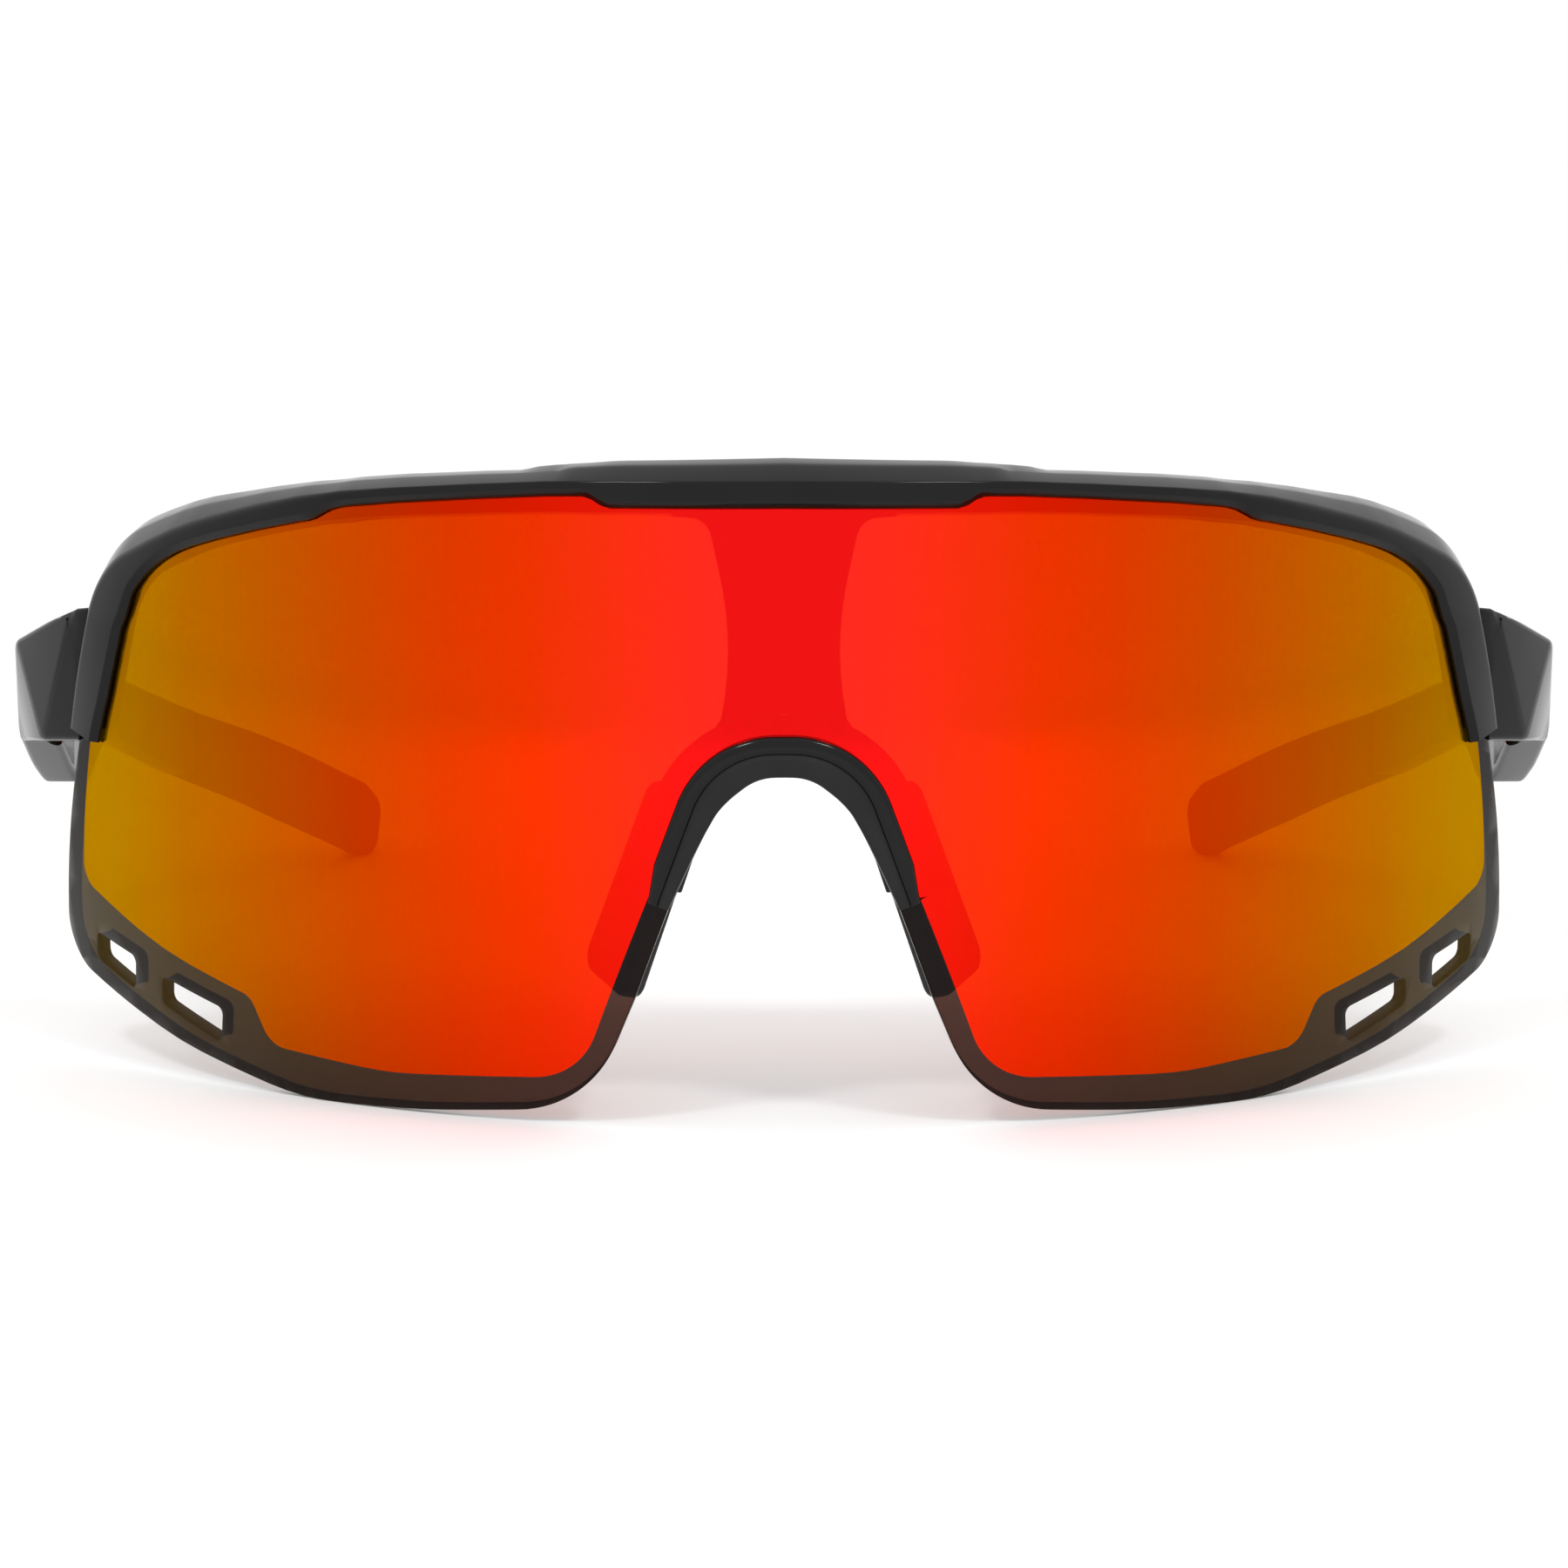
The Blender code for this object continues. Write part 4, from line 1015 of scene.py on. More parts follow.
@dataclass
class Lens:
    """The one-piece shield lens with its mirror coating, smoke border and four vents."""

    surface: LensSurface
    shape: LensShape
    cell: float = 2.0 * MM
    bevel: float = 0.13 * MM

    def build(self, palette: Palette) -> list[bpy.types.Object]:
        """Build and dress the lens.

        Args:
            palette: The finishes.

        Returns:
            The lens.
        """
        coat = self.shape.coat()
        holes = [self.shape.vent(number, side) for number in range(len(self.shape.vents)) for side in Side]
        sheet = filled(([coat], [self.shape.outline(), coat, *holes]))
        body = thickened(sheet, self.shape.thick, self.bevel, 2)
        deep = self.shape.thick - 1e-6
        for face in body.faces:
            depths = [vert.co.z for vert in face.verts]
            if min(depths) > deep:
                face.material_index = LensPart.INNER.value
            elif max(depths) > 1e-6:
                face.material_index = LensPart.EDGE.value
        finishes = (palette.mirror, palette.border, palette.inner, palette.edge)
        lens = finished("shield_lens", self.surface.bend(diced(body, self.cell)), finishes, 40)
        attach(lens, "front")
        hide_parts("lens")
        return [lens]


# ---------------------------------------------------------------- rim, post and end pieces

@dataclass
class Rim:
    """The half rim that the lens's upper edge sits in, with raised middle and side tabs."""

    surface: LensSurface
    shape: LensShape
    proud: float = 1.0 * MM
    flange: float = 2.2 * MM
    face_rise: float = 0.6 * MM
    lip: float = 0.5 * MM
    seat_gap: float = 0.08 * MM
    low_end: float = 0.45 * MM
    corner_end: float = -0.3 * MM
    facet: float = 0.9 * MM
    crown_step: float = 0.28 * MM
    crown_front: float = 20.0 * MM
    crown_rear: float = 24.0 * MM
    # distance from the middle, front lap, rear lap, rise of the rounded top
    rows: tuple = (
        (0.0, 1.65 * MM, 1.9 * MM, 3.22 * MM),
        (16.6 * MM, 1.65 * MM, 1.8 * MM, 2.92 * MM),
        (18.0 * MM, 0.55 * MM, 1.8 * MM, 2.80 * MM),
        (24.5 * MM, 0.55 * MM, 1.65 * MM, 2.5 * MM),
        (44.1 * MM, 0.62 * MM, 1.4 * MM, 2.7 * MM),
        (46.2 * MM, 1.42 * MM, 1.3 * MM, 2.8 * MM),
        (57.0 * MM, 1.22 * MM, 0.9 * MM, 3.65 * MM),
        (63.0 * MM, 1.15 * MM, 0.7 * MM, 4.3 * MM),
        (66.0 * MM, 1.35 * MM, 0.6 * MM, 4.55 * MM),
        (68.1 * MM, 1.79 * MM, 0.5 * MM, 4.75 * MM),
        (70.0 * MM, 2.50 * MM, 0.5 * MM, 4.9 * MM),
        (72.1 * MM, 3.80 * MM, 0.5 * MM, 4.9 * MM),
        (74.5 * MM, 4.45 * MM, 0.5 * MM, 4.85 * MM),
        (80.0 * MM, 4.47 * MM, 0.5 * MM, 4.4 * MM),
        (84.4 * MM, 4.29 * MM, 0.5 * MM, 3.9 * MM),
        (88.4 * MM, 3.76 * MM, 0.5 * MM, 3.4 * MM),
    )

    def path(self, end: float) -> list[Vector]:
        """Draw the lens edge from the right-hand lower end, over the top, to the left-hand one.

        Args:
            end: Height of the lower ends.

        Returns:
            The path's points.
        """
        half = rounded(self.shape.top_corners())
        foot, before = half[-1], half[-2]
        half[-1] = foot.lerp(before, (end - foot.y) / (before.y - foot.y))
        half = resample(half, self.facet)
        return [Vector((-p.x, p.y)) for p in reversed(half[1:])] + half

    def corner(self) -> Vector:
        """Front corner of the rim's lower left end, in the upright frame."""
        end = self.path(self.corner_end)[-1]
        return self.surface.upright(end.x, end.y, -self.proud)

    def section(self, away: float) -> Section:
        """Section of the rim at a distance from the middle.

        Args:
            away: The distance.

        Returns:
            The section's (v, n) points.
        """
        groove = self.shape.thick + self.seat_gap
        back = self.shape.thick + 0.3 * MM + self.flange
        lap = eased(self.rows, 1, away)
        rear = eased(self.rows, 2, away)

        def crown(at: float) -> float:
            """Extra height of the raised middle."""
            share = min(1.0, max(0.0, (at + 1.2 * MM - away) / (1.2 * MM)))
            return self.crown_step * share * share * (3 - 2 * share)

        rise = eased(self.rows, 3, away) + crown(self.crown_rear)
        shoulder = self.face_rise + 0.62 * (eased(self.rows, 3, away) - self.face_rise)
        shoulder += crown(self.crown_front)
        softness = eased(((0, 0.25 * MM), (38 * MM, 0.25 * MM), (54 * MM, 1.6 * MM)), 1, away)
        return filleted((
            (self.seat_gap, -self.seat_gap, 0),
            (-lap, -self.seat_gap, 0.08 * MM),
            (-lap, -0.35 * MM, 0.1 * MM),
            (-lap + self.lip, -self.proud, 0.2 * MM),
            (self.face_rise, -self.proud, softness),
            (shoulder, 0.25 * back, 2.6 * MM),
            (rise, 0.75 * back, 1.2 * MM),
            (rise - self.lip, back, 0.35 * MM),
            (-rear, back, 0.3 * MM),
            (-rear, groove, 0.1 * MM),
            (self.seat_gap, groove, 0),
        ))

    def build(self, palette: Palette) -> list[bpy.types.Object]:
        """Build and dress the rim.

        Args:
            palette: The finishes.

        Returns:
            The rim.
        """
        path = self.path(self.low_end)
        half = path_length(path) / 2
        body = sweep(path, lambda gone: self.section(abs(gone - half)), self.surface.place)
        rim = finished("rim", body, (palette.frame,), 28)
        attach(rim, "front")
        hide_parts("frame_front")
        return [rim]


@dataclass
class CentrePost:
    """The flat post behind the lens, from the rim down to the saddle."""

    surface: LensSurface
    shape: LensShape
    half_top: float = 7.6 * MM
    half_waist: float = 4.2 * MM
    half_foot: float = 5.9 * MM
    waist_height: float = 11.5 * MM
    thick: float = 1.5 * MM
    saddle_lap: float = 3.4 * MM
    joint_gap: float = 0.06 * MM
    bevel: float = 0.35 * MM

    def outline(self) -> list[Vector]:
        """Draw the post's flat outline.

        Returns:
            The outline's points.
        """
        shape = self.shape
        crown = shape.nose_radius + self.saddle_lap + self.joint_gap
        leg = Vector(shape.seat_end) - Vector((shape.nose_shoulder, shape.nose_top))
        turn = math.atan2(-leg.y, leg.x)
        centre = Vector((shape.nose_shoulder - shape.nose_radius * math.tan(turn / 2),
                         shape.nose_top - shape.nose_radius))
        top = shape.top - 1.0 * MM
        reach = math.sqrt(crown**2 - (self.half_foot - centre.x)**2)
        outline = rounded((
            (0, top, 0),
            (self.half_top + 3 * MM, top, 0),
            (self.half_top + 3 * MM, shape.top - 2.1 * MM, 0),
            (self.half_top - 0.4 * MM, shape.top - 2.3 * MM, 2.2 * MM),
            (self.half_waist, self.waist_height, 30 * MM),
            (self.half_foot, centre.y + reach, 0),
        ))
        end = math.asin((self.half_foot - centre.x) / crown)
        for k in range(5, -1, -1):
            angle = end * k / 6
            outline.append(centre + Vector((math.sin(angle), math.cos(angle))) * crown)
        outline.append(Vector((0, shape.nose_top + self.saddle_lap + self.joint_gap)))
        return both_halves(outline)

    def build(self, palette: Palette) -> list[bpy.types.Object]:
        """Build and dress the post.

        Args:
            palette: The finishes.

        Returns:
            The post.
        """
        body = diced(thickened(filled([[self.outline()]]), self.thick, self.bevel, 3), 1.2 * MM)
        front = self.shape.thick + 0.4 * MM
        bmesh.ops.translate(body, vec=(0, 0, front), verts=body.verts)
        post = finished("centre_post", self.surface.bend(body), (palette.frame,))
        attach(post, "front")
        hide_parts("frame_front")
        return [post]


def block(low: Sequence[float], high: Sequence[float], bevel: float) -> bmesh.types.BMesh:
    """Make a rounded box.

    Args:
        low: Its lowest corner.
        high: Its highest corner.
        bevel: Radius of its edges.

    Returns:
        The closed body.
    """
    bm = bmesh.new()
    low, high = Vector(low), Vector(high)
    bmesh.ops.create_cube(bm, size=1.0)
    bmesh.ops.scale(bm, vec=high - low, verts=bm.verts)
    bmesh.ops.translate(bm, vec=(low + high) / 2, verts=bm.verts)
    bmesh.ops.bevel(bm, geom=bm.edges[:], offset=bevel, segments=3, profile=0.5, affect="EDGES", material=-1)
    return bm


def turned_at(profile: Sequence[Place], at: Place, sides: int = 48) -> bmesh.types.BMesh:
    """Spin a profile about an upright axis.

    Args:
        profile: Points (radius, height).
        at: Where the axis stands, in the upright frame.
        sides: Facets round.

    Returns:
        The closed body, in the upright frame.
    """
    bm = turned_profile(profile, sides)
    bmesh.ops.translate(bm, vec=(*at, 0), verts=bm.verts)
    return bm


def ring_profile(inner: float, outer: float, low: float, high: float, chamfer: float) -> list[Place]:
    """Closed profile of a ring with its outer edges chamfered."""
    return [(inner, low), (outer - chamfer, low), (outer, low + chamfer), (outer, high - chamfer),
            (outer - chamfer, high), (inner, high), (inner, low)]


@dataclass(frozen=True)
class HingePlan:
    """Where the hinges stand, shared by the end pieces, the temples and the hardware."""

    rim_corner: Vector
    lug_reach: float = 7.05 * MM
    butt_depth: float = 13.9 * MM
    inset: float = 5.4 * MM
    gap: float = 0.3 * MM
    seen_gap: float = 0.14 * MM
    knuckle_radius: float = 2.1 * MM
    knuckle_height: float = 2.5 * MM
    base: float = 4.5 * MM
    pin_radius: float = 0.7 * MM
    head_radius: float = 1.25 * MM
    head_height: float = 0.8 * MM
    head_sink: float = 0.55 * MM
    insert_wall: float = 0.5 * MM
    insert_roof: float = 0.45 * MM

    @property
    def butt(self) -> float:
        """Plane where the end piece meets the temple."""
        return self.rim_corner.y + self.butt_depth

    @property
    def outer(self) -> float:
        """Outer side of the temple's head."""
        return self.rim_corner.x + self.lug_reach

    @property
    def axis(self) -> Place:
        """Place of the left hinge axis, seen from above."""
        return (self.outer - self.inset, self.butt + self.gap / 2)

    def level(self, number: int) -> Place:
        """Bottom and top of a knuckle, counted from the lowest."""
        low = self.base + number * (self.knuckle_height + self.gap)
        return (low, low + self.knuckle_height)

    def knuckle(self, number: int, bore: float) -> bmesh.types.BMesh:
        """Build a knuckle's ring.

        Args:
            number: Which knuckle, from the lowest.
            bore: Radius of its bore.

        Returns:
            The ring, in the upright frame.
        """
        low, high = self.level(number)
        return turned_at(ring_profile(bore, self.knuckle_radius, low, high, 0.15 * MM), self.axis)

    def bridge(self, number: int, way: int) -> bmesh.types.BMesh:
        """Build the block that joins a knuckle to the end piece or to the temple.

        Args:
            number: Which knuckle, from the lowest.
            way: −1 towards the end piece, 1 towards the temple.

        Returns:
            The block, in the upright frame.
        """
        low, high = self.level(number)
        x, y = self.axis
        near = y + way * self.gap / 2
        far = y + way * 0.85 * self.knuckle_radius
        inner = x + self.pin_radius + 0.35 * MM
        return block((inner, min(near, far), low + 0.04 * MM),
                     (x + self.knuckle_radius + 0.9 * MM, max(near, far), high - 0.04 * MM), 0.06 * MM)

    def room(self, low: float, high: float, radius: float) -> bmesh.types.BMesh:
        """Upright cylinder round the hinge axis, for a clearance."""
        return turned_at([(0, low), (radius, low), (radius, high), (0, high)], self.axis)


@dataclass
class EndPiece:
    """The lug at each end of the rim: a faceted block with two hinge knuckles."""

    surface: LensSurface
    rim: Rim
    plan: HingePlan
    side: Side
    top: float = 13.3 * MM
    bottom: float = 4.1 * MM
    bevel: float = 0.55 * MM

    def corners(self) -> list[Vector]:
        """Corners of the faceted block: the lower ring and then the upper one.

        Returns:
            The corners, in the upright frame.
        """
        corner = self.plan.rim_corner
        outer, back = self.plan.outer, self.plan.butt
        inner = self.plan.axis[0] - self.plan.knuckle_radius + 0.6 * MM
        end = self.rim.path(self.rim.corner_end)[-1]
        root = self.surface.upright(end.x - 2.0 * MM, self.top - 1.5 * MM, -self.rim.proud)
        lower = ((corner.x - 1.2 * MM, corner.y - 0.3 * MM), (corner.x + 3.2 * MM, corner.y + 3.6 * MM),
                 (outer - 3.4 * MM, back - 5.8 * MM), (outer - 0.45 * MM, back), (inner, back),
                 (corner.x - 2.0 * MM, corner.y + 5.5 * MM))
        upper = ((root.x - 0.5 * MM, root.y + 0.6 * MM, 3.2 * MM),
                 (root.x + 1.6 * MM, root.y + 2.0 * MM, 3.1 * MM),
                 (outer - 0.8 * MM, back - 5.8 * MM, 0.3 * MM), (outer, back, 0),
                 (inner, back, 1.2 * MM), (root.x - 2.0 * MM, root.y + 6.0 * MM, 2.6 * MM))
        points = [Vector((x, y, self.bottom)) for x, y in lower]
        return points + [Vector((x, y, self.top + rise)) for x, y, rise in upper]

    def lens_room(self) -> bmesh.types.BMesh:
        """Room that the lens edge needs inside the block.

        Returns:
            The room, in the upright frame.
        """
        path = self.rim.path(self.rim.corner_end)
        beyond = path[-1] + (path[-1] - path[-2]).normalized() * 4 * MM
        path = resample([*path[len(path) // 2 + 20:], beyond], 3 * MM)
        room, deep = 0.2 * MM, self.rim.shape.thick + 0.2 * MM
        section = [(room, -room), (-6 * MM, -room), (-6 * MM, deep), (room, deep)]
        return sweep(path, lambda gone: section, self.surface.upright)

    def body(self) -> bmesh.types.BMesh:
        """Build the block.

        Returns:
            The block, in the upright frame.
        """
        plan = self.plan
        bm = bmesh.new()
        for point in self.corners():
            bm.verts.new(point)
        bmesh.ops.convex_hull(bm, input=bm.verts)
        bmesh.ops.dissolve_limit(bm, angle_limit=math.radians(1), verts=bm.verts, edges=bm.edges)
        bmesh.ops.bevel(bm, geom=bm.edges[:], offset=self.bevel, segments=4, profile=0.5,
                        affect="EDGES", material=-1)
        clear = plan.knuckle_radius + plan.gap
        low, high = plan.level(1)
        head = plan.level(2)[1] - plan.head_sink
        return carved(bm, (
            ("DIFFERENCE", self.lens_room()),
            ("DIFFERENCE", plan.room(low - plan.gap, high + plan.gap, clear)),
            ("DIFFERENCE", plan.room(head, head + 8 * MM, plan.head_radius + plan.gap / 2)),
        ))

    def build(self, palette: Palette) -> list[bpy.types.Object]:
        """Build and dress the end piece and its knuckles.

        Args:
            palette: The finishes.

        Returns:
            The pieces.
        """
        word = self.side.word
        plan = self.plan
        bore = plan.pin_radius + 0.05 * MM
        bodies = {
            f"end_piece_{word}": self.body(),
            f"upper_knuckle_{word}": plan.knuckle(2, bore),
            f"upper_bridge_{word}": plan.bridge(2, -1),
            f"lower_knuckle_{word}": plan.knuckle(0, bore + plan.insert_wall + 0.03 * MM),
            f"lower_bridge_{word}": plan.bridge(0, -1),
        }
        pieces = []
        for name, body in bodies.items():
            bmesh.ops.transform(body, matrix=self.surface.stand, verts=body.verts)
            piece = finished(name, self.side.turned(body), (palette.frame,), 24)
            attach(piece, "front")
            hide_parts("frame_front")
            pieces.append(piece)
        return pieces


# ---------------------------------------------------------------- nose piece

@dataclass
class Saddle:
    """The nose saddle: a glossy bead on the lens and a satin band that wraps its edge."""

    surface: LensSurface
    shape: LensShape
    lap: float = 1.75 * MM
    lap_end: float = 1.1 * MM
    shoulder: float = 3.4 * MM
    over: float = 1.87 * MM
    over_end: float = 0.83 * MM
    swell: float = 0.35 * MM
    swell_at: float = 0.62
    proud: float = 1.3 * MM
    band_proud: float = 1.12 * MM
    rear_lap: float = 3.4 * MM
    rear_lap_end: float = 4.6 * MM
    rear: float = 1.5 * MM
    groove_at: float = 0.16 * MM
    seat: float = 0.06 * MM
    facet: float = 0.5 * MM

    def path(self) -> list[Vector]:
        """Seat on the lens, from the right-hand leg's end over the crown to the left one's."""
        half = resample(rounded(self.shape.seat_corners()), self.facet)
        return [Vector((-p.x, p.y)) for p in half] + list(reversed(half))[1:]

    def shares(self, gone: float, length: float) -> tuple[float, float]:
        """Distance from the nearer leg's end, and its share of the way to the crown."""
        from_end = max(0.0, min(gone, length - gone))
        return from_end, min(1.0, from_end / (length / 2))

    def bead(self, gone: float, length: float) -> Section:
        """Section of the glossy bead.

        Args:
            gone: Distance along the path.
            length: The path's length.

        Returns:
            The section's (v, n) points.
        """
        from_end, _ = self.shares(gone, length)
        lap = self.lap_end + (self.lap - self.lap_end) * min(1.0, from_end / self.shoulder)
        return filleted((
            (self.groove_at, -self.seat, 0),
            (lap, -self.seat, 0.05 * MM),
            (lap, -self.proud, 0.62 * MM),
            (self.groove_at, -self.proud, 0.5 * MM),
        ), 6)

    def band(self, gone: float, length: float) -> Section:
        """Section of the satin band, with its rear flange.

        Args:
            gone: Distance along the path.
            length: The path's length.

        Returns:
            The section's (v, n) points.
        """
        _, share = self.shares(gone, length)
        swell = self.swell * math.exp(-((share - self.swell_at) / 0.2)**2)
        over = self.over_end + (self.over - self.over_end) * min(1.0, 1.4 * share) + swell
        rear_lap = self.rear_lap_end + (self.rear_lap - self.rear_lap_end) * share
        back = self.shape.thick + 0.3 * MM
        return filleted((
            (0.5 * MM, -self.seat, 0),
            (0.5 * MM, -0.9 * MM, 0.1 * MM),
            (self.groove_at, -0.98 * MM, 0.1 * MM),
            (self.groove_at - 0.45 * MM, -self.band_proud, 0.3 * MM),
            (-over, -self.band_proud, 0.55 * MM),
            (-over, back + self.rear, 0.3 * MM),
            (rear_lap, back + self.rear, 0.7 * MM),
            (rear_lap, self.shape.thick + self.seat, 0.2 * MM),
            (-self.seat, self.shape.thick + self.seat, 0),
            (-self.seat, -self.seat, 0),
        ))

    def build(self, palette: Palette) -> list[bpy.types.Object]:
        """Build and dress the saddle.

        Args:
            palette: The finishes.

        Returns:
            The saddle's pieces.
        """
        path = self.path()
        length = path_length(path)
        pieces = []
        for name, section, finish in (("saddle_bead", self.bead, palette.bead),
                                      ("saddle_band", self.band, palette.satin)):
            body = sweep(path, lambda gone, at=section: at(gone, length), self.surface.place)
            pieces.append(finished(name, body, (finish,)))
        for piece in pieces:
            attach(piece, "front")
            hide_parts("nose_saddle")
        return pieces


@dataclass
class NosePad:
    """One rubber nose pad, with the saddle's arm that carries it."""

    surface: LensSurface
    shape: LensShape
    saddle: Saddle
    side: Side
    top: float = -3.6 * MM
    foot: float = -21.9 * MM
    proud: float = 0.4 * MM
    width: float = 8.6 * MM
    thick: float = 2.4 * MM
    splay: float = math.radians(27)
    foot_drop: float = 1.0 * MM
    flare: float = 1.1 * MM
    corner: float = 2.0 * MM
    edge: float = 0.75 * MM
    arm_thick: float = 0.8 * MM
    arm_length: float = 5.5 * MM
    arm_width: float = 6.0 * MM
    arm_root: float = 2.0 * MM

    def frame(self) -> tuple[Matrix, float]:
        """Find the left pad's place: x down it, y to its rear edge, z away from the nose.

        Returns:
            The matrix in the upright frame, and the pad's length.
        """
        start = self.shape.thick + 0.3 * MM + self.saddle.rear + 0.3 * MM
        start += self.thick * math.sin(self.splay)
        shoulder = Vector((self.shape.nose_shoulder, self.shape.nose_top))
        seat, foot = Vector(self.shape.seat_end), Vector(self.shape.nose_foot)
        top_s = shoulder.x + (seat.x - shoulder.x) * (self.top - shoulder.y) / (seat.y - shoulder.y)
        foot_s = foot.x + (self.foot - foot.y) * (seat.x - foot.x) / (seat.y - foot.y)
        top = self.surface.upright(top_s - self.proud - 0.5 * MM, self.top, start)
        low = self.surface.upright(foot_s - self.proud, self.foot, start)
        down = (low - top).normalized()
        rearwards = Vector((math.sin(self.splay), math.cos(self.splay), 0))
        rearwards = (rearwards - down * rearwards.dot(down)).normalized()
        away = down.cross(rearwards)
        if away.x < 0:
            away = -away
        matrix = Matrix((down, rearwards, away)).transposed().to_4x4()
        matrix.translation = top
        return matrix, (low - top).length

    def build(self, palette: Palette) -> list[bpy.types.Object]:
        """Build and dress the pad and its arm.

        Args:
            palette: The finishes.

        Returns:
            The pieces.
        """
        matrix, length = self.frame()
        matrix = self.surface.stand @ matrix
        outline = closed_rounded((
            (0, 0, 0.9 * MM),
            (length, 0, 1.5 * MM),
            (length + self.foot_drop, self.width + self.flare, self.corner),
            (0, self.width, self.corner),
        ))
        pad = diced(thickened(filled([[outline]]), self.thick, self.edge, 4), 1.5 * MM)
        middle = (self.thick - self.arm_thick) / 2
        arm = block((1.5 * MM, -self.arm_root, middle),
                    (1.5 * MM + self.arm_length, self.arm_width, middle + self.arm_thick), 0.2 * MM)
        for body in (pad, arm):
            bmesh.ops.transform(body, matrix=matrix, verts=body.verts)
        word = self.side.word
        pad_piece = finished(f"pad_{word}", self.side.turned(pad), (palette.pad,))
        arm_piece = finished(f"pad_arm_{word}", self.side.turned(arm), (palette.satin,))
        for piece, node, slot in ((pad_piece, f"nose_pad_{word}", "pad_rubber"),
                                  (arm_piece, "nose_saddle", "saddle_black")):
            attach(piece, "front")
            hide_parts(node)
        return [pad_piece, arm_piece]


# ---------------------------------------------------------------- temples and hinge hardware

@dataclass
class Temple:
    """One folding temple: head, bent arm and rubber grip, with its hinge hardware."""

    surface: LensSurface
    plan: HingePlan
    lug: EndPiece
    side: Side
    length: float = 111.5 * MM
    thick_head: float = 4.3 * MM
    thick_arm: float = 3.3 * MM
    height: float = 6.1 * MM
    tip_height: float = 7.9 * MM
    toe_in: float = 24.2 * MM
    grip_length: float = 60.5 * MM
    lean: float = 0.055
    bevel: float = 0.62 * MM
    grip_bevel: float = 0.95 * MM
    cell: float = 2.0 * MM

    @property
    def root(self) -> float:
        """Front plane of the temple."""
        return self.plan.butt + self.plan.seen_gap

    @property
    def grip_start(self) -> float:
        """Distance behind the head at which the grip starts."""
        return self.length - self.grip_length

    def thickness(self, back: float) -> float:
        """Thickness of the arm at a distance behind the head."""
        share = min(1.0, max(0.0, (back - 8 * MM) / (28 * MM)))
        return self.thick_head + (self.thick_arm - self.thick_head) * share

    def middle(self, back: float) -> float:
        """Middle plane of the arm, which curves in towards its tip.

        Args:
            back: Distance behind the head.

        Returns:
            Distance from the middle of the glasses.
        """
        points = [(share * self.length, run * self.toe_in) for share, run in
                  ((0, 0), (0.10, 0.01), (0.26, 0.16), (0.42, 0.33), (0.67, 0.60), (1.0, 1.0165))]
        return self.plan.outer - self.thickness(back) / 2 - smooth_through(points, back)

    def line(self, back: float) -> float:
        """Height of the arm's middle line.

        Args:
            back: Distance behind the head.

        Returns:
            The height.
        """
        points = [(share * self.length, height * MM) for share, height in
                  ((0, 8.6), (0.26, 7.5), (0.42, 4.9), (0.67, 1.5), (1.0, -4.6))]
        return smooth_through(points, back)

    def tall(self, back: float) -> float:
        """Height of the arm's side at a distance behind the head."""
        share = min(1.0, max(0.0, (back - 0.26 * self.length) / (0.5 * self.length)))
        return self.height + (self.tip_height - self.height) * share

    def edge(self, first: float, last: float, sense: int) -> list[Vector]:
        """Draw the arm's upper or lower edge.

        Args:
            first: Where it starts, behind the head.
            last: Where it ends.
            sense: 1 for the upper edge, −1 for the lower one.

        Returns:
            The points.
        """
        count = max(2, math.ceil(abs(last - first) / self.cell))
        backs = [first + (last - first) * k / count for k in range(count + 1)]
        return [Vector((back, self.line(back) + sense * self.tall(back) / 2)) for back in backs]

    def head_outline(self) -> list[Vector]:
        """Side view of the head, with its drop below the end piece, and the bare arm.

        Returns:
            The outline.
        """
        low, high = self.lug.bottom + 0.1 * MM, self.lug.top - 0.1 * MM
        neck = 0.24 * self.length
        bare = self.grip_start - self.plan.seen_gap
        half = self.height / 2
        head = rounded((
            (neck, self.line(neck) - half, 0),
            (22.6 * MM, low, 3 * MM),
            (18.0 * MM, low - 3.8 * MM, 1.3 * MM),
            (13.6 * MM, low - 4.0 * MM, 3.0 * MM),
            (0, low, 0),
            (0, high, 0),
            (0.13 * self.length, high - 0.8 * MM, 40 * MM),
            (neck, self.line(neck) + half, 0),
        ))
        start = 0.30 * self.length
        return head + self.edge(start, bare, 1) + self.edge(bare, start, -1)

    def grip_outline(self) -> list[Vector]:
        """Side view of the grip, with its rounded tip.

        Returns:
            The outline.
        """
        upper = self.edge(self.grip_start, self.length - 5 * MM, 1)
        lower = self.edge(self.length - 7 * MM, self.grip_start, -1)
        high = (self.length, self.line(self.length) + 0.33 * self.tip_height, 2.4 * MM)
        low = (self.length - 2.2 * MM, self.line(self.length) - 0.48 * self.tip_height, 2.4 * MM)
        tip = rounded(((*upper[-1], 0), high, low, (*lower[0], 0)))
        return upper[:-1] + tip + lower[1:]

    def blade(self, outline: Sequence[Vector], bevel: float) -> bmesh.types.BMesh:
        """Give a side view its thickness and its run in towards the head.

        Args:
            outline: The side view.
            bevel: Radius of its edges.

        Returns:
            The body, in the upright frame.
        """
        bm = diced(thickened(filled([[outline]]), self.thick_arm, bevel, 4), self.cell)
        for vert in bm.verts:
            back, height, depth = vert.co
            share = depth / self.thick_arm - 0.5
            fade = 1 - min(1.0, back / (0.3 * self.length))
            lean = self.lean * (height - self.lug.top) * fade * (share + 0.5)
            x = self.middle(back) + share * self.thickness(back) + lean
            vert.co = (x, self.root + back, height)
        return bm

